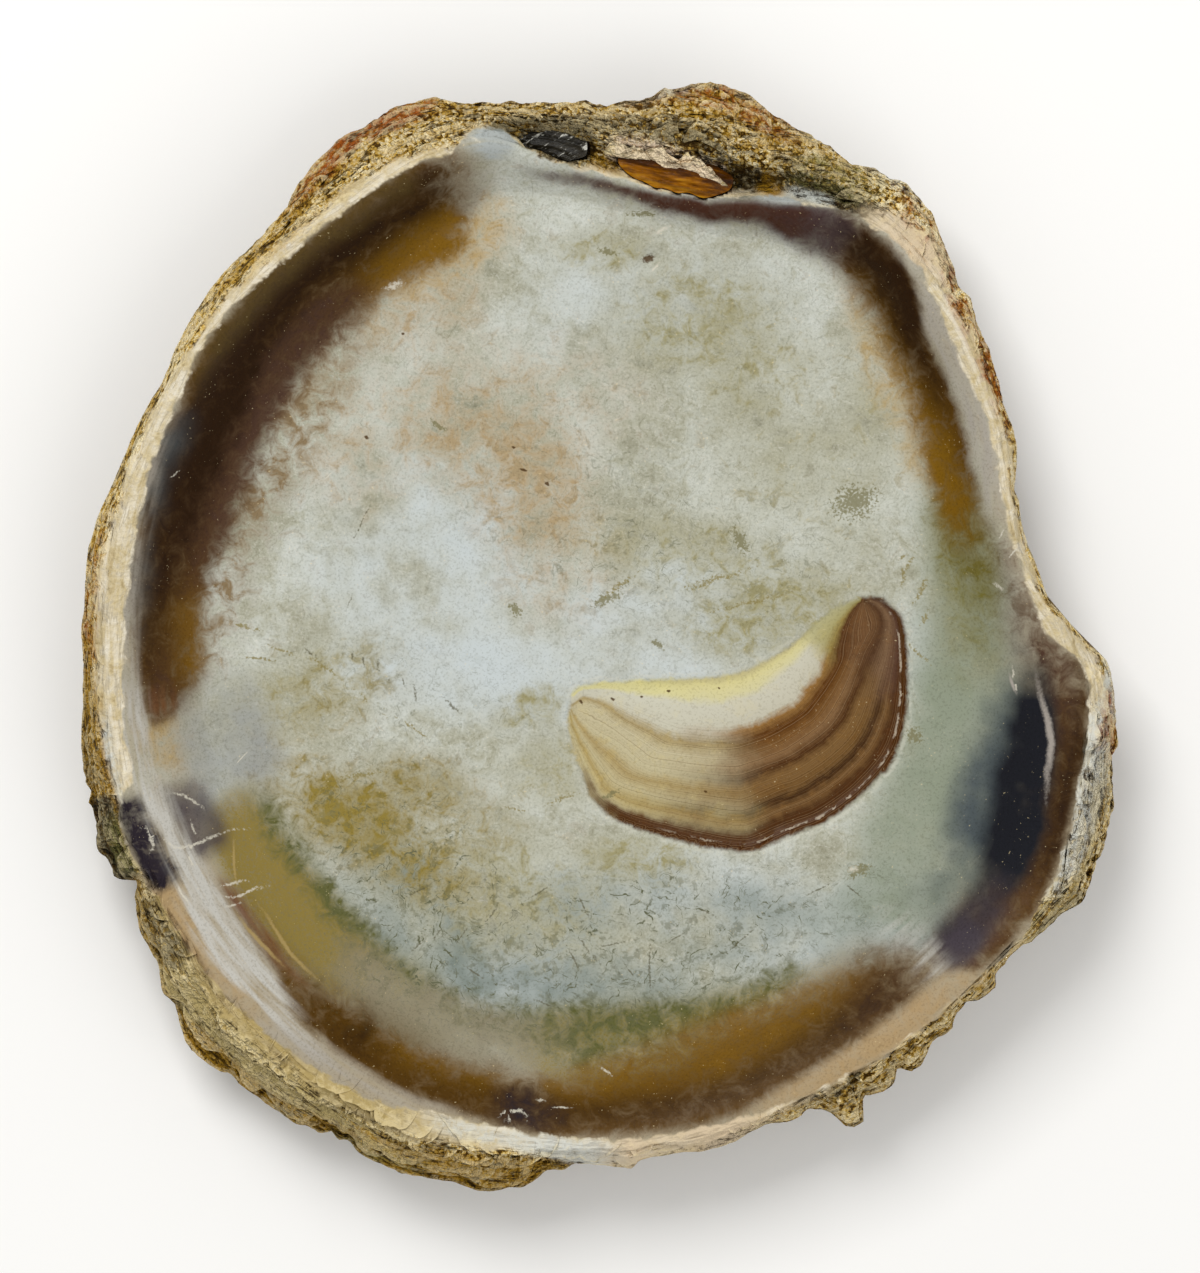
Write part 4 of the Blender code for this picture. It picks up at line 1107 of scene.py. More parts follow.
# Small sharp marks in pixels: each row runs from (x, y) to (x, y) and has a width.
# core is how far in its edge turns full, and broken how much the pattern eats into it.
marks = [
    {
        "name": "oliveSpots", "colour": "#77724F", "core": 0.5, "broken": 1.0, "weave": 1.2,
        "strength": 0.8,
        "rows": [
            (846, 506, 866, 498, 44), (914, 735, 916, 737, 24), (655, 214, 628, 214, 9),
            (735, 530, 746, 552, 18), (596, 604, 618, 594, 16),
            (598, 250, 618, 253, 10), (512, 606, 518, 612, 16), (652, 640, 664, 648, 8),
            (870, 870, 850, 874, 16), (620, 790, 600, 800, 8), (430, 420, 445, 430, 8),
        ],
    },
    {
        "name": "oliveStrokes", "colour": "#857949", "core": 0.7, "broken": 1.2, "weave": 4.0,
        "strength": 0.8,
        "rows": [
            (900, 590, 918, 546, 8), (912, 606, 932, 574, 8), (920, 625, 930, 612, 7),
            (896, 560, 912, 552, 6), (300, 648, 345, 684, 6), (345, 684, 402, 727, 6),
            (372, 703, 440, 746, 5), (226, 620, 262, 632, 6), (262, 640, 300, 660, 6),
            (235, 655, 280, 662, 4), (680, 590, 760, 566, 9), (700, 615, 800, 590, 7),
            (585, 792, 540, 806, 6), (528, 812, 505, 808, 5), (300, 830, 345, 800, 10),
            (360, 850, 420, 820, 9), (330, 780, 390, 770, 8), (640, 570, 600, 600, 8),
            (905, 640, 935, 668, 5),
        ],
    },
    {
        "name": "darkTicks", "colour": "#5A563F", "core": 0.8, "broken": 0.9, "weave": 3.0,
        "strength": 0.75,
        "rows": [
            (352, 651, 352, 662, 4), (362, 654, 363, 668, 4), (377, 656, 378, 676, 5),
            (386, 654, 386, 664, 4), (402, 676, 403, 690, 5), (412, 682, 417, 706, 5),
            (440, 694, 462, 718, 5), (384, 666, 390, 682, 4), (304, 650, 314, 655, 7),
            (575, 890, 592, 926, 3), (650, 935, 650, 1006, 4), (575, 935, 601, 966, 4),
            (444, 925, 430, 942, 5), (432, 936, 402, 958, 3), (560, 935, 585, 980, 3),
            (470, 925, 452, 950, 3), (620, 960, 640, 985, 3), (660, 950, 690, 930, 3),
            (720, 960, 760, 925, 3), (520, 905, 560, 880, 3), (480, 930, 500, 905, 3),
            (372, 500, 350, 545, 3), (352, 590, 345, 612, 3), (690, 905, 720, 920, 3),
            (590, 950, 640, 940, 3), (800, 900, 840, 880, 3), (455, 960, 490, 985, 3),
            (840, 880, 870, 905, 3), (400, 900, 440, 880, 3), (530, 1000, 560, 1010, 3),
        ],
    },
    {
        "name": "paleScratches", "colour": "#CFC9B8", "core": 0.8, "broken": 0.8, "weave": 3.5,
        "strength": 0.8,
        "rows": [
            (161, 794, 183, 794, 194, 801, 202, 808, 206, 816, 5), (190, 818, 193, 828, 198, 838, 4),
            (141, 826, 149, 826, 155, 835, 154, 844, 150, 855, 7),
            (150, 822, 160, 832, 172, 846, 184, 848, 199, 843, 216, 836, 231, 830, 254, 829, 6),
            (186, 849, 190, 858, 196, 870, 4), (177, 880, 184, 893, 193, 908, 4),
            (213, 888, 235, 883, 251, 880, 5), (216, 893, 239, 897, 254, 889, 273, 885, 5),
            (224, 907, 243, 902, 4),
            (493, 1120, 506, 1111, 520, 1109, 527, 1115, 526, 1123, 5),
            (504, 1121, 508, 1112, 512, 1122, 4),
            (536, 1100, 545, 1101, 4), (551, 1106, 575, 1107, 3), (600, 1068, 613, 1077, 5),
            (1012, 664, 1014, 682, 4), (1014, 680, 1017, 694, 4),
            (993, 583, 1002, 590, 6), (650, 234, 672, 226, 6), (660, 262, 650, 272, 5),
            (850, 872, 858, 868, 9), (170, 480, 182, 470, 3), (384, 288, 402, 282, 10),
            (1006, 560, 1018, 545, 3), (998, 540, 1004, 528, 3), (1016, 520, 1024, 512, 3),
            (470, 138, 482, 146, 6), (322, 480, 334, 470, 2), (232, 768, 250, 748, 2),
        ],
    },
    # a pale streak down the right of the ring: a painted highlight along a ridge
    {
        "name": "growthLinesAndRidgeHighlight", "colour": "#AFA69C", "core": 0.8, "broken": 0.25, "weave": 0.8,
        "strength": 0.8,
        "rows": [
            (1032, 660, 1040, 698, 1047, 722, 1050, 744, 1046, 772, 1044, 812, 11),
            (1009, 672, 1012, 684, 1017, 696, 5),
        ],
    },
    # thin tan lines along the lower left of the ring: painted highlights
    {
        "name": "tanLines", "colour": "#A9915C", "core": 0.7, "broken": 0.3, "weave": 1.2,
        "strength": 0.75,
        "rows": [
            (233, 832, 234, 865, 237, 890, 4),
            (252, 896, 266, 914, 276, 930, 288, 950, 305, 968, 329, 989, 6),
            (234, 908, 246, 926, 261, 942, 276, 957, 291, 972, 6),
        ],
    },
    {
        "name": "brownDots", "colour": "#4A3110", "core": 0.5, "broken": 0.4, "weave": 0.6,
        "strength": 0.9,
        "rows": [
            (645, 259, 651, 257, 11), (612, 699, 614, 700, 4), (641, 697, 643, 697, 3),
            (668, 691, 670, 691, 4), (719, 688, 720, 689, 3), (365, 436, 366, 437, 5),
            (402, 333, 403, 333, 4), (580, 700, 582, 704, 4), (705, 792, 707, 793, 3),
            (520, 468, 526, 470, 4), (512, 446, 514, 447, 4), (545, 482, 548, 484, 5),
        ],
    },
]


def ribbon(rows, angle, radius, soft):
    # how strongly a glaze covers each place between its inner and outer edge
    innerEdge, outerEdge = onLine(rows, angle, 1), onLine(rows, angle, 2)
    covers = ease(0.5 + (radius - innerEdge) / (2 * soft[0]))
    covers = covers * ease(0.5 + (outerEdge - radius) / (2 * soft[1]))
    return covers * np.clip(onLine(rows, angle, 3), 0, 1)


def patch(row, x, y):
    cx, cy, halfX, halfY, turn, strength = row
    east, north = x - cx, cy - y
    cos, sin = math.cos(math.radians(turn)), math.sin(math.radians(turn))
    off = np.hypot((east * cos + north * sin) / halfX, (north * cos - east * sin) / halfY)
    return strength * ease(1.35 - 0.9 * off)


def nearestMark(rows, x, y):
    # where each place lies in its nearest mark, along and across it in half lengths and
    # half widths, and which mark that is
    closest = np.full(x.shape, 1e9)
    found = np.zeros((3,) + x.shape)
    for index, (*points, width) in enumerate(rows):
        line = toShell(np.reshape(points, (-1, 2)))
        half = width * px / 2
        steps = np.hypot(*np.diff(line, axis=0).T) + 1e-4
        reach = steps.sum() / 2 + half
        passed = -steps.sum() / 2
        for (ax, ay), (bx, by), step in zip(line[:-1], line[1:], steps):
            ux, uy = (bx - ax) / step, (by - ay) / step
            along = (x - ax) * ux + (y - ay) * uy
            across = (y - ay) * ux - (x - ax) * uy
            kept = np.clip(along, 0, step)
            off = np.hypot(along - kept, across) - half
            first, last = passed < 1e-6 - steps.sum() / 2, passed + step > steps.sum() / 2 - 1e-6
            ends = np.clip(along, -1e9 if first else 0, 1e9 if last else step)
            closer = off < closest
            closest = np.where(closer, off, closest)
            place = np.stack([(passed + ends) / reach, across / half,
                              np.full(x.shape, index)])
            found = np.where(closer, place, found)
            passed += step
    return found


def glazeCover(glaze, angle, radius, picX, picY):
    # how strongly a glaze covers each place, from pixels
    cover = np.zeros_like(picX)
    if "arcs" in glaze:
        cover = ribbon(glaze["arcs"], angle, radius, glaze["soft"])
    for row in glaze.get("patches", []):
        cover = np.maximum(cover, patch(row, picX, picY))
    return np.clip(cover, 0, 1)


def paintShell(mesh, columns):
    # everything that the material reads at each vertex
    x, y, z, relief, angle, out, down = columns
    bearing, radius = polarOf(x, y)
    deep, across, along = scarPlace(x, y)
    picX = picture["middle"][0] + x / px
    picY = picture["middle"][1] - y / px
    values = {
        "relief": relief,
        "crumbled": onLine(weathering["crumbled"], bearing),
        "down": down,
        "pastRing": radius - onCurve(ringEdge, bearing) * px + 0.35 * grain(x, y, 1.6, 73),
        "pastRough": radius - onCurve(roughEdge, bearing) * px + 0.5 * grain(x, y, 1.1, 74),
        "veined": np.clip(sum(patch(row, picX, picY) for row in veined), 0, 1),
        "scarDeep": np.where(down > 0, -5, deep),
        "scarAcross": across,
        "scarAlong": along,
    }
    drift = 5.0 * grain(x, y, 7.0, 71) + 2.5 * grain(x, y, 2.2, 72)
    sideways = 0.9 * grain(x, y, 5.0, 75) + 0.6 * grain(x, y, 1.8, 76)
    for name, value in values.items():
        made = mesh.attributes.new(name, "FLOAT", "POINT")
        made.data.foreach_set("value", value.astype(np.float32))
    turn = np.radians(angle)
    vectors = {"grown": np.stack([40 * np.cos(turn), 40 * np.sin(turn), out])}
    for glaze in glazes + marginGlazes:
        cover = glazeCover(glaze, bearing + sideways, radius / px + drift, picX, picY)
        cover = cover * (1 - down)
        # the pattern eats into the glaze where it is thin, and leaves its full places whole
        eaten = 8.0 * glaze["broken"] * cover * (1.25 - cover)
        vectors[glaze["name"]] = np.stack([cover, eaten, 0 * cover])
    for mark in marks:
        found = nearestMark(mark["rows"], x, y)
        found[1] += 1000 * down  # far from every mark, as the outer face has none
        vectors[mark["name"]] = found
        made = mesh.attributes.new(mark["name"] + "Squared", "FLOAT", "POINT")
        made.data.foreach_set("value", (found[2] ** 2).astype(np.float32))
    for name, value in vectors.items():
        made = mesh.attributes.new(name, "FLOAT_VECTOR", "POINT")
        made.data.foreach_set("vector", value.T.astype(np.float32).ravel())


def makePiece(name, points, faces, material, sharpest=40, body="root"):
    # a closed mesh in mm as a named piece of the shell
    mesh = bpy.data.meshes.new(name)
    mesh.from_pydata((points * mm).tolist(), [], faces)
    mesh.validate()
    mesh.materials.append(material)
    mesh.shade_smooth()
    mesh.set_sharp_from_angle(angle=math.radians(sharpest))
    piece = bpy.data.objects.new(name, mesh)
    bpy.context.scene.collection.objects.link(piece)
    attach(piece, body)
    return piece


# Flakes of the margin: thin torn sheets whose inner edge is still part of the shell.
# Each has rows of (angle, inner pixel radius, outer pixel radius), how far its outer edge
# is lifted, its thickness and how ragged it is, all in mm.

flakes = {
    "cell": 0.24,
    "named": [
        {
            "rows": [(208.5, 490, 508), (211, 492, 519), (215, 494, 522), (219, 496, 526),
                     (224, 500, 534), (229, 502, 538), (234, 504, 539), (239, 503, 533),
                     (241, 503, 514)],
            "lift": 0.35, "thick": 0.30, "ragged": 0.25,
        },
        {
            "rows": [(220.5, 520, 530), (223, 522, 552), (226, 524, 561), (231, 526, 562),
                     (236, 527, 563), (239, 526, 556), (240.5, 524, 536)],
            "lift": 0.55, "thick": 0.40, "ragged": 0.5,
        },
        {
            "rows": [(251, 500, 508), (253, 500, 521), (256, 500, 527), (260, 499, 525),
                     (263, 498, 519), (266, 499, 522), (269.5, 502, 531), (272.5, 504, 518)],
            "lift": 0.45, "thick": 0.35, "ragged": 0.5,
        },
        {
            "rows": [(74.2, 467, 472), (75.5, 466, 480), (78, 468, 486), (80.5, 470, 487),
                     (83, 473, 490), (85, 476, 494), (87, 478, 497), (88.8, 480, 490)],
            "heights": (10.55, 10.95), "lift": 0.1, "thick": 1.4, "ragged": 0.9, "tone": 0.30,
        },
        {
            "rows": [(84.0, 478, 483), (86.0, 478, 492), (88.0, 480, 495), (89.6, 482, 490)],
            "heights": (10.95, 11.3), "lift": 0.1, "thick": 0.9, "ragged": 0.8, "tone": 0.38,
        },
        {
            "rows": [(75.2, 470, 474), (77.0, 472, 481), (79.5, 474, 485), (82, 476, 481)],
            "heights": (10.8, 11.15), "lift": 0.1, "thick": 0.8, "ragged": 0.8, "tone": 0.2,
        },
        {
            "rows": [(80.0, 475, 479), (82, 476, 486), (84.5, 480, 490), (86.4, 482, 488)],
            "heights": (10.85, 11.25), "lift": 0.1, "thick": 0.8, "ragged": 0.8, "tone": 0.35,
        },
        {
            "rows": [(328.5, 505, 520), (331, 508, 545), (334, 508, 543), (338, 504, 534),
                     (342, 498, 524), (346, 497, 526), (350, 493, 520), (354, 490, 516),
                     (356.5, 485, 500)],
            "lift": 0.5, "thick": 0.5, "ragged": 0.5,
        },
        {
            "rows": [(322.5, 512, 524), (325, 516, 531), (329, 522, 540), (332, 530, 552),
                     (333.4, 536, 552)],
            "lift": 0.2, "thick": 0.5, "ragged": 0.3,
        },
        {
            "rows": [(290.5, 500, 506), (292, 502, 520), (293.6, 503, 516), (294.6, 504, 510)],
            "lift": 0.5, "thick": 0.5, "ragged": 0.3,
        },
        {
            "rows": [(295.6, 512, 522), (296.6, 510, 545), (298.2, 508, 552), (299.2, 510, 534)],
            "lift": 0.6, "thick": 0.5, "ragged": 0.25,
        },
        {
            "rows": [(300.5, 508, 520), (302, 505, 538), (303.6, 505, 533), (304.6, 506, 514)],
            "lift": 0.5, "thick": 0.5, "ragged": 0.3,
        },
        {
            "rows": [(304.8, 508, 518), (306, 507, 534), (308.2, 506, 532), (309.6, 506, 514)],
            "lift": 0.4, "thick": 0.5, "ragged": 0.3,
        },
        {
            "rows": [(309.8, 508, 512), (311, 506, 526), (312.6, 505, 520), (313.6, 506, 510)],
            "lift": 0.4, "thick": 0.4, "ragged": 0.3,
        },
        {
            "rows": [(315, 508, 514), (316.6, 508, 528), (318.8, 508, 529), (320, 509, 515)],
            "lift": 0.35, "thick": 0.4, "ragged": 0.3,
        },
    ],
    # many small ones, strewn over a stretch: its arc, the shares of the margin between
    # which they lie, how many, and their length, width and lift in mm
    "strewn": [
        {"arc": (209, 262), "shares": (0.40, 0.97), "count": 74, "length": (2.5, 8.5),
         "width": (0.7, 2.9), "lift": (0.25, 0.95), "seed": 3},
        {"arc": (239, 256), "shares": (0.10, 0.42), "count": 9, "length": (3.0, 5.0),
         "width": (1.5, 2.8), "lift": (0.25, 0.55), "seed": 8},
        {"arc": (195, 208), "shares": (0.30, 0.97), "count": 22, "length": (1.2, 3.0),
         "width": (0.5, 1.2), "lift": (0.2, 0.6), "seed": 4},
        {"arc": (101, 131), "shares": (0.15, 0.97), "count": 48, "length": (2.5, 8.0),
         "width": (0.5, 1.3), "lift": (0.1, 0.4), "seed": 5},
        {"arc": (40, 101), "shares": (0.50, 0.97), "count": 110, "length": (1.5, 5.0),
         "width": (0.5, 1.4), "lift": (0.1, 0.45), "seed": 6},
        {"arc": (324, 356), "shares": (0.35, 0.97), "count": 46, "length": (1.5, 5.0),
         "width": (0.4, 1.1), "lift": (0.1, 0.4), "seed": 7},
        {"arc": (274, 323), "shares": (0.45, 0.97), "count": 40, "length": (1.5, 4.5),
         "width": (0.4, 1.1), "lift": (0.1, 0.4), "seed": 9},
        {"arc": (131, 195), "shares": (0.40, 0.97), "count": 50, "length": (3.0, 9.0),
         "width": (0.3, 0.8), "lift": (0.05, 0.22), "seed": 10},
    ],
}


def marginPlace(angle, share):
    # pixel radius of a share of the way from the rim to the outline
    rim = onCurve(valve["rim"], angle)
    return mix(rim, onCurve(valve["outline"], angle) * px, share) / px


def strewnFlakes(stretch):
    # flakes whose place and size are drawn at random within a stretch
    draw = np.random.default_rng(stretch["seed"])
    made = []
    for _ in range(stretch["count"]):
        middle = draw.uniform(*stretch["arc"])
        share = draw.uniform(*stretch["shares"])
        length = draw.uniform(*stretch["length"])
        width = draw.uniform(*stretch["width"])
        half = math.degrees(length / 2 / (marginPlace(middle, share) * px))
        tilt = draw.normal(0, 0.05)
        rows = []
        for step in (-1, -0.5, 0, 0.5, 1):
            angle = middle + step * half
            outer = min(share + tilt * step, 0.985)
            edge = marginPlace(angle, outer)
            rows.append((angle, edge - width / px, edge))
        made.append({"rows": rows, "lift": draw.uniform(*stretch["lift"]),
                     "thick": 0.3, "ragged": 0.35})
    return made


def flakeBlock(flake, seed):
    # one flake as a closed sheet: points, faces, and how far each vertex stands out
    rows = flake["rows"]
    first, last = rows[0][0], rows[-1][0]
    middle = np.mean([r[2] for r in rows]) * px
    length = math.radians(last - first) * middle
    lengthwise = max(6, int(length / flakes["cell"]))
    widest = max(r[2] - r[1] for r in rows) * px
    crosswise = max(3, int(widest / flakes["cell"]))
    t, s = np.meshgrid(np.linspace(0, 1, lengthwise), np.linspace(0, 1, crosswise),
                       indexing="ij")
    angle = mix(first, last, t)
    inner = np.interp(angle, [r[0] for r in rows], [r[1] for r in rows]) * px
    outer = np.interp(angle, [r[0] for r in rows], [r[2] for r in rows]) * px
    taper = 1 - np.abs(2 * t - 1) ** 4
    along = angle * 0.75
    torn = grain(along, along * 0, 1.4, seed) + 0.5 * grain(along, along * 0, 0.45, seed + 0.5)
    width = np.maximum((outer - inner) * taper**0.6 + flake["ragged"] * torn * taper, 0.06)
    limit = outlineRadius(angle) - 0.1
    radius = np.minimum(inner + s * width, limit)
    turn = np.radians(angle)
    x, y = radius * np.cos(turn), radius * np.sin(turn)
    start, _ = plainHeight(inner * np.cos(turn), inner * np.sin(turn))
    end, _ = plainHeight((inner + width) * np.cos(turn), (inner + width) * np.sin(turn))
    start, end = flake.get("heights", (start, end))
    lift = flake["lift"] * taper
    top = mix(start - 0.12, end + lift, s)
    top = top + 0.10 * grain(x, y, 0.8, 81) + 0.06 * grain(x, y, 0.35, 82)
    top = levelled(top, 0.01 * (seed % 9))
    under = top - flake["thick"] * mix(1.0, 0.55, s) * mix(0.4, 1, taper)
    points = np.concatenate([np.stack([x, y, top], -1).reshape(-1, 3),
                             np.stack([x, y, under], -1).reshape(-1, 3)])
    # each flake is a little lighter or darker; towards its outer edge it is painted lighter as a
    # highlight, and its underside darker as painted shade
    tone = flake.get("tone", 0.05 + 0.12 * math.sin(12.9898 * seed))
    relief = np.concatenate([(tone + 0.30 * s**4).ravel(), np.full(x.size, -0.40)])
    ids = np.arange(x.size).reshape(x.shape)
    corners = [ids[:-1, :-1], ids[:-1, 1:], ids[1:, 1:], ids[1:, :-1]]
    quads = np.stack([c.ravel() for c in corners], 1)
    below = quads[:, ::-1] + x.size
    rim = np.concatenate([ids[0, :-1], ids[:-1, -1], ids[-1, :0:-1], ids[:0:-1, 0]])
    ahead = np.roll(rim, -1)
    sides = np.stack([rim, rim + x.size, ahead + x.size, ahead], 1)
    return points, np.concatenate([quads[:, ::-1], below[:, ::-1], sides]), relief


def makeFlakes(material):
    # all the flakes joined in one piece
    rows = list(flakes["named"])
    for stretch in flakes["strewn"]:
        rows += strewnFlakes(stretch)
    points, faces, relief, total = [], [], [], 0
    for seed, flake in enumerate(rows):
        block, quads, stands = flakeBlock(flake, 100 + seed)
        points.append(block)
        faces += (quads + total).tolist()
        relief.append(stands)
        total += len(block)
    points, relief = np.concatenate(points), np.concatenate(relief)
    piece = makePiece("margin_flakes", points, faces, material)
    x, y, z = points.T
    angle, radius = polarOf(x, y)
    out = radius - onCurve(valve["rim"], angle)
    paintShell(piece.data, [x, y, z, relief, angle, out, np.zeros_like(x)])
    return piece


def makeLigament(name, node, piece, ridges, material):
    # a remnant as a closed lump, with ridges along it of the given height and spacing in mm
    cells = 44
    ring, angle = woundSheet(cells)
    inner = ring < 1 - 1e-9
    count = 4 * cells
    full = np.arange(count) * 360 / count
    levels = [(1.0, 0.0), (1.0, 0.72)]  # rings up the side: how far out, and how high
    points, faces, total = [], [], 0
    middle = np.mean(np.stack(ligamentEdge(piece, np.radians(full))), axis=1)
    fills = ligaments["gap"] - 0.08

    def place(ring, angle, height):
        ex, ey = ligamentEdge(piece, np.radians(angle), fills)
        x, y = mix(middle[0], ex, ring), mix(middle[1], ey, ring)
        return np.stack([x, y, height], 1)

    def crown(ring, angle):
        at = place(ring, angle, np.zeros_like(ring))
        bearing, radius = polarOf(at[:, 0], at[:, 1])
        out = radius - onCurve(valve["rim"], bearing) - piece["out"]
        height, spacing = ridges
        swing = out + 0.35 * grain(at[:, 0], at[:, 1], 2.2, 91)
        ridge = height * (1 - 2.2 * np.abs(grain(swing / spacing, bearing / 9, 1.0, 92)))
        lump = 0.22 * grain(at[:, 0], at[:, 1], 1.6, 93)
        body = mix(0.72, 0.88, ease((1 - ring) * 2.6))
        rise = piece["high"] - piece["low"]
        return np.clip(piece["low"] + rise * body + (ridge + lump) * ease((1 - ring) * 5),
                       piece["low"] + 0.2, piece["high"])

    starts = []
    for reach, height in levels:
        z = piece["low"] + (piece["high"] - piece["low"]) * height
        points.append(place(np.full(count, reach), full, np.full(count, z)))
        starts.append(total)
        total += count
    faces += [f[::-1] for f in bandFaces(starts[1], count, starts[0], count)]
    points.append(place(ring[inner], angle[inner], crown(ring[inner], angle[inner])))
    faces += sheetFaces(cells, ring, angle, total, starts[1])
    total += int(inner.sum())
    flat = np.full(int(inner.sum()), piece["low"])
    points.append(place(ring[inner], angle[inner], flat))
    faces += [f[::-1] for f in sheetFaces(cells, ring, angle, total, starts[0])]
    points = np.concatenate(points)
    made = makePiece(name, points, faces, material)
    bearing, radius = polarOf(points[:, 0], points[:, 1])
    back = (radius - onCurve(valve["rim"], bearing) - piece["out"]) / piece["half"]
    made.data.attributes.new("back", "FLOAT", "POINT").data.foreach_set("value", back)
    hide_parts(node)
    return made


# Materials

def linear(hexColour, alpha=1.0):
    # an sRGB hex value as the linear colour that the shader works in
    values = [int(hexColour[i:i + 2], 16) / 255 for i in (1, 3, 5)]
    bent = [v / 12.92 if v <= 0.04045 else ((v + 0.055) / 1.055) ** 2.4 for v in values]
    return (*bent, alpha)


def addNode(tree, kind, links=(), stops=(), **settings):
    # adds a node, sets it, and links or fills its sockets
    node = tree.nodes.new(kind)
    for name, value in settings.items():
        setattr(node, name, value)
    for socket, value in dict(links).items():
        if isinstance(value, bpy.types.NodeSocket):
            tree.links.new(value, node.inputs[socket])
        else:
            node.inputs[socket].default_value = value
    for index, (place, colour) in enumerate(stops):
        elements = node.color_ramp.elements
        stop = elements[index] if index < 2 else elements.new(place)
        stop.position = place
        stop.color = linear(colour)
    return node


def freshMaterial(name):
    material = bpy.data.materials.new(name)
    material.use_nodes = True
    tree = material.node_tree
    return material, tree, tree.nodes["Principled BSDF"]


# The forms of node that the shell's material is built from: the node, the sockets that its
# values go into, the output that is read, and its settings
nodeForms = {
    "object": ("ShaderNodeTexCoord", (), "Object", {}),
    "number": ("ShaderNodeAttribute", (), "Fac", {}),
    "vector": ("ShaderNodeAttribute", (), "Vector", {}),
    "ramp": ("ShaderNodeValToRGB", (0,), 0, {}),
    "mix": ("ShaderNodeMix", (0, 6, 7), 2, {"data_type": "RGBA"}),
    "darken": ("ShaderNodeMix", (0, 6, 7), 2, {"data_type": "RGBA", "blend_type": "MULTIPLY"}),
    "soften": ("ShaderNodeMix", (0, 6, 7), 2, {"data_type": "RGBA", "blend_type": "SOFT_LIGHT"}),
    "between": ("ShaderNodeMix", (0, 2, 3), 0, {}),
    "rise": ("ShaderNodeMapRange", (0, 1, 2, 3, 4), 0, {"interpolation_type": "SMOOTHSTEP"}),
    "noise": ("ShaderNodeTexNoise",
              ("Vector", "Scale", "Detail", "Roughness", "Distortion"), 0, {}),
    "streaks": ("ShaderNodeTexNoise", ("W", "Detail", "Roughness"), 0,
                {"noise_dimensions": "1D"}),
    "stretch": ("ShaderNodeMapping", ("Vector", "Scale"), 0, {}),
    "draw": ("ShaderNodeMapping", ("Vector", "Scale", "Rotation"), 0,
             {"vector_type": "TEXTURE"}),
    "join": ("ShaderNodeCombineXYZ", (0, 1, 2), 0, {}),
    "first": ("ShaderNodeSeparateXYZ", (0,), 0, {}),
    "third": ("ShaderNodeSeparateXYZ", (0,), 2, {}),
    "scaled": ("ShaderNodeVectorMath", (0, 1), 0, {"operation": "MULTIPLY"}),
    "scaledPlus": ("ShaderNodeVectorMath", (0, 1, 2), 0, {"operation": "MULTIPLY_ADD"}),
    "dot": ("ShaderNodeVectorMath", (0, 1), 1, {"operation": "DOT_PRODUCT"}),
    "length": ("ShaderNodeVectorMath", (0,), 1, {"operation": "LENGTH"}),
    "bump": ("ShaderNodeBump", ("Height", "Distance", "Strength"), 0, {}),
}
arithmetic = {"plus": "ADD", "minus": "SUBTRACT", "times": "MULTIPLY", "least": "MINIMUM",
              "timesPlus": "MULTIPLY_ADD", "size": "ABSOLUTE", "most": "MAXIMUM",
              "below": "LESS_THAN"}
for form, operation in arithmetic.items():
    nodeForms[form] = ("ShaderNodeMath", (0, 1, 2), 0, {"operation": operation})

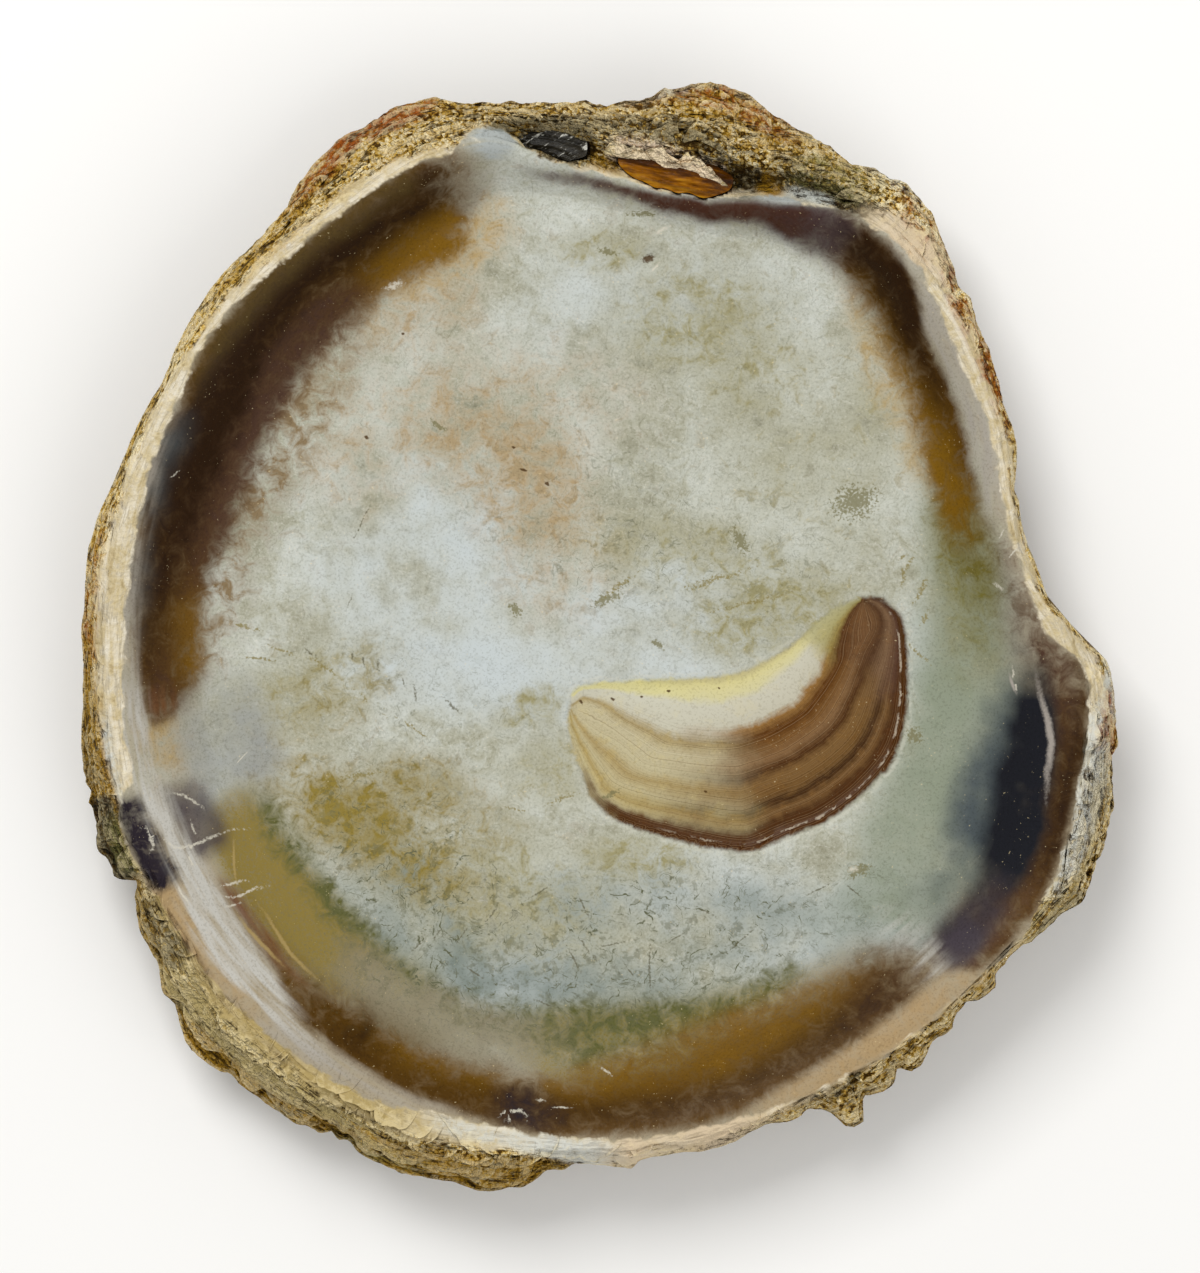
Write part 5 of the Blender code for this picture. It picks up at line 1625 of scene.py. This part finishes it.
# Oyster shell: thin sheets of calcite. Grown against the flesh it is smooth and pearly,
# so the inside has a soft satin sheen; broken and bleached at the margin it is chalk.
# Ramps are rows of (place, colour). Washes are rows of (pattern, where it starts, where it
# is full, strength, colour, form of mixing).
shellFinish = {
    "pearl": [(0.28, "#8C8973"), (0.42, "#AAA996"), (0.54, "#BDBFB3"), (0.72, "#D2D5CE")],
    "cream": [(0.30, "#9C865C"), (0.42, "#C3B28A"), (0.54, "#D4C8AD"), (0.70, "#E3DCCB")],
    "rubble": [(0.36, "#4E3406"), (0.43, "#B48C36"), (0.50, "#DFBE6A"), (0.58, "#F8E8BC")],
    "outer": [(0.26, "#4B3D2A"), (0.43, "#7C6A4A"), (0.57, "#A08D68"), (0.75, "#C2B391")],
    # painted shade for the crevices and for the cracks between sheets
    "paintedCreviceShade": "#362408",
    "vein": "#5E6048",
    "paintedGlint": "#D9C79A",
    # sand has scuffed the floor: dirt and long faint scratches that cross; the pale specks are
    # painted glints
    "scuffsAndGlints": [
        ("mottle", 0.55, 0.70, 0.50, "#9A927A", "mix"),
        ("brushed", 0.62, 0.72, 0.26, "#A59F88", "darken"),
        ("wiped", 0.62, 0.74, 0.24, "#DCDBD0", "mix"),
        ("speckle", 0.58, 0.74, 0.20, "#E9E5D8", "mix"),
    ],
    "floorGrain": [("speckle", 0.50, 0.30, 0.24, "#8C8570", "darken")],
    # painted highlight on the crumbs that stand highest
    "paintedCrumbHighlights": [("lit", 0.0, 0.4, 0.42, "#EBD9A8", "mix")],
    # mauve rays from the umbo, and painted shade where the face lies low between the scales
    "outerRaysAndShade": [
        ("rays", 0.54, 0.72, 0.5, "#5B4450", "mix"),
        ("lit", 0.1, -0.3, 0.7, "#362408", "mix"),
    ],
    "glassyRoughness": 0.36,
    "pearlRoughness": 0.46,
    "chalkRoughness": 0.88,
    "ior": 1.56,          # calcite, averaged over its two directions
    "gloss": 0.08,        # the worn face mirrors little of the bright room
    # patterns on the shell: size in mm, detail, roughness, warp and dimensions
    "speckles": {
        "cloud": (7.0, 3.0, 0.62, 0.0, "2D"),
        "mottle": (1.6, 3.0, 0.68, 0.6, "3D"),
        "speckle": (0.22, 1.0, 0.7, 0.0, "3D"),  # real grains are finer, drawn coarse enough to show
        "crumb": (0.66, 2.0, 0.68, 0.0, "3D"),
    },
    # patterns that follow its growth: changes to the mm along it and across it, detail,
    # roughness. Real sheets are thinner than these 0.5 mm, drawn coarse enough to show.
    "layers": {
        "rings": (0.16, 1.5, 2.0, 0.62),
        "rays": (1.4, 0.16, 0.0, 0.6),
        "sheets": (0.24, 2.0, 2.0, 0.6),
        "growthLinesAndRidgeHighlight": (0.10, 1.6, 2.0, 0.65),
    },
    # strokes: length and width in mm, and turn in degrees, on a slightly bent space
    "strokes": {"brushed": (4.5, 0.24, 62), "wiped": (3.0, 0.22, -20)},
    "strokeBend": (9, 1.6, 0),
    "granuleSize": 0.30,
    "bumpDepth": 1.4,     # mm
}

scarFinish = {
    "left": [
        (0.0, "#BDB580"), (0.05, "#CFC78C"), (0.13, "#D0C994"), (0.18, "#C6C3B0"),
        (0.33, "#C2BEAA"), (0.40, "#A69468"), (0.47, "#BEB492"), (0.60, "#BCB28E"),
        (0.67, "#A69262"), (0.75, "#BAAF88"), (0.83, "#A8945E"), (0.91, "#BEB38A"),
        (0.97, "#BBAF86"),
    ],
    "right": [
        (0.0, "#B9AE80"), (0.05, "#D0C78E"), (0.12, "#CBC498"), (0.165, "#C3BFAC"),
        (0.285, "#BDB8A4"), (0.33, "#8C6634"), (0.39, "#563002"), (0.46, "#6E4A20"),
        (0.53, "#7C5C3A"), (0.595, "#462602"), (0.65, "#775830"), (0.74, "#694A22"),
        (0.785, "#3A2002"), (0.84, "#70502A"), (0.90, "#422404"), (0.97, "#311A04"),
    ],
    "tip": [
        (0.0, "#A09A70"), (0.07, "#B2AC80"), (0.25, "#A39A68"), (0.33, "#8E7C44"),
        (0.385, "#502E0B"), (0.50, "#6A4A2C"), (0.62, "#4A2E17"), (0.74, "#74583E"),
        (0.85, "#543828"), (0.93, "#452818"), (0.98, "#3A2010"),
    ],
    "grain": [
        ("mottle", 0.52, 0.66, 0.3, "#D2C8A8", "soften"),
        ("speckle", 0.5, 0.3, 0.2, "#8C8060", "darken"),
    ],
    "darkEdge": "#4C2A06",
    "paleStreak": "#B09874",
    "darkStreak": "#86704E",
    "streaks": 34.0,      # from its upper edge to its lower
    "paintedGlint": "#D9C79C",
    "edgeLine": "#D8CBB4",
    "brim": "#CFCDBC",
}


def shellMaterial():
    material, tree, shader = freshMaterial("oysterShellGrownInSheets")
    finish, scarLook = shellFinish, scarFinish
    patterns, centred = {}, {}

    def add(form, *values, **settings):
        # adds a node of one of the forms above, with its values in the order of its sockets
        kind, sockets, output, usual = nodeForms[form]
        links = dict(zip(sockets, values))
        return addNode(tree, kind, links, **usual, **settings).outputs[output]

    def weighed(first, share, second):
        # two patterns added up, of which the first has the given share
        return add("timesPlus", first, share, add("times", second, 1 - share))

    def swayed(pattern, reach, value):
        # a value that wanders with a pattern, by up to about half the reach
        return add("timesPlus", add("minus", pattern, 0.5), reach, value)

    def washed(colour, rows):
        for name, start, full, most, tint, form in rows:
            cover = add("rise", patterns[name], start, full, 0.0, most)
            colour = add(form, cover, colour, linear(tint))
        return colour

    def layGlaze(colour, glaze):
        # how thick it lies, and how far its pattern eats into it, in one product
        laid = add("vector", attribute_name=glaze["name"])
        cover = add("dot", laid, centred[glaze["grain"]])
        return add("mix", cover, colour, linear(glaze["colour"]))

    place = add("stretch", add("object"), (1 / mm, 1 / mm, 1 / mm))
    grown = add("vector", attribute_name="grown")
    for name, (size, detail, rough, warp, space) in finish["speckles"].items():
        patterns[name] = add("noise", place, 1 / size, detail, rough, warp,
                             noise_dimensions=space)
    for name, (along, across, detail, rough) in finish["layers"].items():
        layered = add("stretch", grown, (along, along, across))
        patterns[name] = add("noise", layered, 1.0, detail, rough)
    cloud, mottle, fine = patterns["cloud"], patterns["mottle"], patterns["speckle"]
    crumb, sheets = patterns["crumb"], patterns["sheets"]
    bent = add("scaledPlus", add("join", cloud, mottle), finish["strokeBend"], place)
    for name, (length, width, turn) in finish["strokes"].items():
        drawn = add("draw", bent, (length, width, 1), (0, 0, math.radians(turn)))
        patterns[name] = add("noise", drawn, 1.0, 2.0, 0.65, noise_dimensions="2D")
    for name in ("cloud", "mottle", "speckle", "rings", "crumb", "sheets"):
        centred[name] = add("join", 1.0, add("minus", patterns[name], 0.5))
    granules = addNode(tree, "ShaderNodeTexVoronoi", {
        "Vector": place, "Scale": 1 / finish["granuleSize"]}, voronoi_dimensions="2D").outputs
    relief = add("number", attribute_name="relief")
    down = add("number", attribute_name="down")
    # how far a place stands off its plain form, wandering with the crumbs: low places get painted
    # shade, high places a painted highlight
    lit = swayed(crumb, 1.2, relief)
    patterns["lit"] = lit

    # pearly floor: clouds, mottling and fine grain over each other
    colour = add("ramp", weighed(mottle, 0.55, cloud), stops=finish["pearl"])
    # dirt and scratches, and pale specks as painted glints
    colour = washed(colour, finish["scuffsAndGlints"])
    for glaze in glazes:
        colour = layGlaze(colour, glaze)
    # where it is crazed, dirt has settled in the scratches and in small stains
    vein = add("rise", add("least", patterns["brushed"], patterns["wiped"]), 0.36, 0.30)
    vein = add("times", vein, add("rise", crumb, 0.42, 0.54, 0.1, 1.0))
    stain = add("rise", weighed(crumb, 0.5, mottle), 0.52, 0.60, 0.0, 0.45)
    stain = add("times", add("most", vein, stain), add("number", attribute_name="veined"))
    colour = add("mix", stain, colour, linear(finish["vein"]))
    colour = washed(colour, finish["floorGrain"])
    # sparse pale specks that stand for tiny glints on the shell: painted highlight
    paintedGlints = add("rise", fine, 0.70, 0.76, 0.0, 0.5)
    paintedGlints = add("times", paintedGlints, add("rise", mottle, 0.48, 0.62))
    colour = add("mix", paintedGlints, colour, linear(finish["paintedGlint"]))

    # margin: smooth cream layers next to the ring, and crumbs and crevices beyond them
    cream = add("ramp", weighed(sheets, 0.4, mottle), stops=finish["cream"])
    # raised places come out lighter in the rubble, and low places darker: painted light and shade
    both = add("timesPlus", relief, 0.20, weighed(crumb, 0.7, sheets))
    # each granule has its own tone, and is darker towards its edge: painted shade between the
    # granules
    tone = add("timesPlus", granules[0], -0.55, add("first", granules[1]))
    tone = add("times", add("minus", tone, 0.25), add("number", attribute_name="crumbled"))
    rubble = add("ramp", add("timesPlus", tone, 0.34, both), stops=finish["rubble"])
    pastRough = swayed(mottle, 2.5, add("number", attribute_name="pastRough"))
    rugged = add("rise", pastRough, -0.4, 0.4)
    margin = add("mix", rugged, cream, rubble)
    for glaze in marginGlazes:
        margin = layGlaze(margin, glaze)
    # painted shade where the margin lies low between the crumbs, less where it is smooth
    shade = add("rise", lit, -0.22, -0.54, 0.0, 0.88)
    shade = add("times", shade, add("rise", rugged, 0.0, 1.0, 0.25, 1.0))
    margin = add("mix", shade, margin, linear(finish["paintedCreviceShade"]))
    # dark seams between the sheets, broken along their length: painted shade in the cracks between
    # them
    seam = add("rise", add("size", add("minus", sheets, 0.5)), 0.045, 0.010)
    seam = add("times", seam, add("rise", mottle, 0.42, 0.54, 0.0, 0.85))
    seam = add("times", seam, add("rise", rugged, 0.0, 1.0, 0.3, 1.0))
    margin = add("mix", seam, margin, linear(finish["paintedCreviceShade"]))
    # painted highlight on the highest crumbs
    margin = washed(margin, finish["paintedCrumbHighlights"])
    pastRing = swayed(mottle, 1.2, add("number", attribute_name="pastRing"))
    chalky = add("rise", pastRing, -0.12, 0.22)
    colour = add("mix", chalky, colour, margin)

    # muscle scar: growth bands across it, paler at the left, brown at the right
    across = add("number", attribute_name="scarAcross")
    bend = swayed(mottle, 0.09, across)
    along = swayed(cloud, 0.25, add("number", attribute_name="scarAlong"))
    streak = add("streaks", add("timesPlus", across, scarLook["streaks"], cloud), 2.0, 0.75)
    left, right, tip = [add("ramp", bend, stops=scarLook[s]) for s in ("left", "right", "tip")]
    scarred = add("mix", add("rise", along, 0.26, 0.52), left, right)
    scarred = add("mix", add("rise", along, 0.70, 0.84), scarred, tip)
    dark = add("times", add("rise", bend, 0.87, 0.935), add("rise", along, 0.15, 0.27))
    scarred = add("mix", dark, scarred, linear(scarLook["darkEdge"]))
    brown = add("rise", bend, 0.22, 0.40)
    pale = add("times", add("rise", streak, 0.5, 0.75, 0.0, 0.24), brown)
    scarred = add("mix", pale, scarred, linear(scarLook["paleStreak"]))
    lines = add("times", add("rise", streak, 0.48, 0.30, 0.0, 0.45), brown)
    scarred = add("darken", lines, scarred, linear(scarLook["darkStreak"]))
    scarred = washed(scarred, scarLook["grain"])
    # the same painted glints over the scar
    scarred = add("mix", paintedGlints, scarred, linear(scarLook["paintedGlint"]))
    # a thin pale line follows its lower edge, and the edge itself is soft and uneven
    edge = swayed(mottle, 0.9, add("number", attribute_name="scarDeep"))
    line = add("rise", add("size", add("minus", edge, 0.62)), 0.12, 0.03)
    line = add("times", line, add("rise", across, 0.6, 0.8))
    line = add("times", line, add("rise", along, 0.30, 0.50))
    line = add("times", line, add("rise", mottle, 0.44, 0.58, 0.0, 0.5))
    scarred = add("mix", line, scarred, linear(scarLook["edgeLine"]))
    colour = add("mix", add("rise", edge, -0.26, 0.24), colour, scarred)
    brim = add("rise", add("size", add("plus", edge, 0.3)), 0.3, 0.06)
    brim = add("times", brim, add("rise", crumb, 0.42, 0.60, 0.0, 0.35))
    colour = add("mix", brim, colour, linear(scarLook["brim"]))

    # small sharp marks, each a long thin drop shape that the pattern eats into
    wander = add("join", 0.0, add("minus", mottle, 0.5))
    gritty = add("minus", fine, 0.4)
    for mark in marks:
        found = add("vector", attribute_name=mark["name"])
        drop = add("scaledPlus", wander, (0, mark["weave"], 0), found)
        drop = add("minus", 1.0, add("length", add("scaled", drop, (1, 1, 0))))
        # a face between two marks reads neither: there the number's square isn't exact
        which = add("third", found)
        squared = add("number", attribute_name=mark["name"] + "Squared")
        whole = add("below", add("minus", squared, add("times", which, which)), 0.02)
        eaten = add("timesPlus", gritty, -2 * mark["broken"], drop)
        cover = add("times", add("rise", eaten, 0.0, mark["core"]),
                    add("rise", drop, 0.0, 0.12))
        cover = add("times", cover, add("times", whole, mark["strength"]))
        colour = add("mix", cover, colour, linear(mark["colour"]))

    # weathered outer face: growth lines, mauve rays, and painted shade between the scales
    under = weighed(patterns["growthLinesAndRidgeHighlight"], 0.6, mottle)
    under = washed(add("ramp", under, stops=finish["outer"]), finish["outerRaysAndShade"])
    colour = add("mix", down, colour, under)
    tree.links.new(colour, shader.inputs["Base Color"])

    # gloss: glassy on the brown ring, satin on the floor, dull where it is chalk
    dull = add("most", chalky, down)
    sheen = add("rise", mottle, 0.35, 0.65, finish["glassyRoughness"], finish["pearlRoughness"])
    gloss = add("between", dull, sheen, finish["chalkRoughness"])
    tree.links.new(gloss, shader.inputs["Roughness"])
    shader.inputs["IOR"].default_value = finish["ior"]
    shader.inputs["Specular IOR Level"].default_value = finish["gloss"]

    # fine unevenness that is too small for the mesh
    dull = add("times", dull, add("rise", rugged, 0.0, 1.0, 0.35, 1.0))
    strength = add("rise", dull, 0.0, 1.0, 0.05, 1.0)
    bump = add("bump", crumb, finish["bumpDepth"] * mm, strength)
    tree.links.new(bump, shader.inputs["Normal"])
    return material


# Dried ligament: a horny protein like old cow horn. Where it is clear it glows amber
# with a wet-looking gloss; where it has split into fibres it is black and satin.
ligamentFinish = {
    "amber": [(0.34, "#200E00"), (0.46, "#4A2600"), (0.57, "#885202"), (0.70, "#BE8416")],
    "amberRoughness": 0.26,
    "amberGloss": 0.06,
    "amberClear": 0.06,
    "black": [(0.3, "#0D0B07"), (0.5, "#1E1A10"), (0.68, "#3A3426"), (0.82, "#6E6753")],
    "blackRoughness": 0.42,
    "hornIor": 1.54,
    "fibre": 0.35,   # mm between fibres, drawn coarser than the real 0.05 to show
}


def amberMaterial():
    material, tree, shader = freshMaterial("clearHornLigament")
    finish = ligamentFinish
    place = addNode(tree, "ShaderNodeTexCoord").outputs["Object"]
    turned = addNode(tree, "ShaderNodeMapping", {
        "Vector": place, "Rotation": (0, 0, math.radians(-8)),
        "Scale": (3.0 * mm, 0.6 * mm, 2.0 * mm)}, vector_type="TEXTURE")
    layers = addNode(tree, "ShaderNodeTexNoise", {
        "Vector": turned.outputs[0], "Scale": 1.0, "Detail": 5.0, "Roughness": 0.65})
    back = addNode(tree, "ShaderNodeAttribute", attribute_name="back").outputs["Fac"]
    faint = addNode(tree, "ShaderNodeMath", {0: layers.outputs[0], 1: 0.7, 2: 0.15},
                    operation="MULTIPLY_ADD")
    # darker towards the back edge, under the flakes: painted shade
    clearnessAndShade = addNode(tree, "ShaderNodeMath", {0: back, 1: -0.13, 2: faint.outputs[0]},
                    operation="MULTIPLY_ADD")
    colour = addNode(tree, "ShaderNodeValToRGB", {0: clearnessAndShade.outputs[0]}, finish["amber"])
    tree.links.new(colour.outputs[0], shader.inputs["Base Color"])
    shader.inputs["Roughness"].default_value = finish["amberRoughness"]
    shader.inputs["IOR"].default_value = finish["hornIor"]
    shader.inputs["Specular IOR Level"].default_value = finish["amberGloss"]
    shader.inputs["Transmission Weight"].default_value = finish["amberClear"]
    bump = addNode(tree, "ShaderNodeBump", {
        "Height": layers.outputs[0], "Distance": 0.0003, "Strength": 0.6})
    tree.links.new(bump.outputs[0], shader.inputs["Normal"])
    return material


def blackMaterial():
    material, tree, shader = freshMaterial("fibrousHornLigament")
    finish = ligamentFinish
    place = addNode(tree, "ShaderNodeTexCoord").outputs["Object"]
    turned = addNode(tree, "ShaderNodeMapping", {
        "Vector": place, "Rotation": (0, 0, math.radians(22)),
        "Scale": (2.5 * mm, finish["fibre"] * mm, 2.0 * mm)}, vector_type="TEXTURE")
    fibres = addNode(tree, "ShaderNodeTexNoise", {
        "Vector": turned.outputs[0], "Scale": 1.0, "Detail": 5.0, "Roughness": 0.75})
    colour = addNode(tree, "ShaderNodeValToRGB", {0: fibres.outputs[0]}, finish["black"])
    crossed = addNode(tree, "ShaderNodeMapping", {
        "Vector": place, "Rotation": (0, 0, math.radians(32)),
        "Scale": (1.6 * mm, 0.35 * mm, 1.1 * mm)}, vector_type="TEXTURE")
    flecks = addNode(tree, "ShaderNodeTexNoise", {
        "Vector": crossed.outputs[0], "Scale": 1.0, "Detail": 3.0, "Roughness": 0.7})
    shown = addNode(tree, "ShaderNodeMapRange", {0: flecks.outputs[0], 1: 0.57, 2: 0.65})
    both = addNode(tree, "ShaderNodeMix", {
        0: shown.outputs[0], 6: colour.outputs[0], 7: linear("#D2D0C4")}, data_type="RGBA")
    tree.links.new(both.outputs[2], shader.inputs["Base Color"])
    shader.inputs["Roughness"].default_value = finish["blackRoughness"]
    shader.inputs["IOR"].default_value = finish["hornIor"]
    bump = addNode(tree, "ShaderNodeBump", {
        "Height": fibres.outputs[0], "Distance": 0.0004, "Strength": 0.8})
    tree.links.new(bump.outputs[0], shader.inputs["Normal"])
    return material


print("materials: shell")
shellLook = shellMaterial()

print("valve: building the mesh")
valveColumns, valveFaces = makeValveMesh()
shellPiece = makePiece("oyster_valve", np.stack(valveColumns[:3], 1), valveFaces, shellLook)
paintShell(shellPiece.data, valveColumns)
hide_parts("valve")
print("valve:", len(valveFaces), "faces")
flakePiece = makeFlakes(shellLook)
print("margin flakes:", len(flakePiece.data.polygons), "faces")
makeLigament("amber_ligament", "ligament_amber", ligaments["amber"], (0.28, 0.55),
             amberMaterial())
makeLigament("black_ligament", "ligament_black", ligaments["black"], (0.32, 0.42),
             blackMaterial())
print("ligament remnants")


# Studio

studio = {
    "cameraHeight": 0.80,     # m above the shell's middle height
    "focusPlane": 0.009,      # m, the height at which the picture's scale holds
    "sensor": 36.0,
    "keyWatts": 3.1,
    "keyPlace": (-0.20, 0.38, 0.58),
    "keySize": 0.35,
    "fillWatts": 1.9,
    "fillPlace": (0.42, -0.38, 0.6),
    "fillSize": 0.7,
    "worldLight": 0.50,
    "floor": "#F4F3F0",
    "floorSize": 3.0,
}


def makeFloor():
    material, _, shader = freshMaterial("pale_paper")
    shader.inputs["Base Color"].default_value = linear(studio["floor"])
    shader.inputs["Roughness"].default_value = 0.9
    half = studio["floorSize"] / 2
    mesh = bpy.data.meshes.new("studio_floor")
    corners = [(-half, -half, 0), (half, -half, 0), (half, half, 0), (-half, half, 0)]
    mesh.from_pydata(corners, [], [(0, 1, 2, 3)])
    mesh.materials.append(material)
    floor = bpy.data.objects.new("studio_floor", mesh)
    floor.location.z = -0.0002
    bpy.context.scene.collection.objects.link(floor)


def makeLight(name, watts, place, size):
    data = bpy.data.lights.new(name, "AREA")
    data.energy = watts
    data.size = size
    light = bpy.data.objects.new(name, data)
    light.location = place
    aim = light.location.normalized().to_track_quat("Z", "Y")
    light.rotation_euler = aim.to_euler()
    bpy.context.scene.collection.objects.link(light)


def makeCamera():
    data = bpy.data.cameras.new("overhead")
    data.sensor_width = studio["sensor"]
    pictureHeight = picture["size"][1] * px * mm
    data.lens = studio["sensor"] * studio["cameraHeight"] / pictureHeight
    camera = bpy.data.objects.new("overhead", data)
    camera.location = (0, 0, studio["cameraHeight"] + studio["focusPlane"])
    bpy.context.scene.collection.objects.link(camera)
    bpy.context.scene.camera = camera


print("studio")
makeFloor()
makeLight("key", studio["keyWatts"], studio["keyPlace"], studio["keySize"])
makeLight("fill", studio["fillWatts"], studio["fillPlace"], studio["fillSize"])
makeCamera()
world = bpy.data.worlds.new("studio_world")
world.use_nodes = True
world.node_tree.nodes["Background"].inputs["Color"].default_value = (1, 1, 1, 1)
world.node_tree.nodes["Background"].inputs["Strength"].default_value = studio["worldLight"]
bpy.context.scene.world = world
bpy.context.scene.view_settings.view_transform = "Standard"
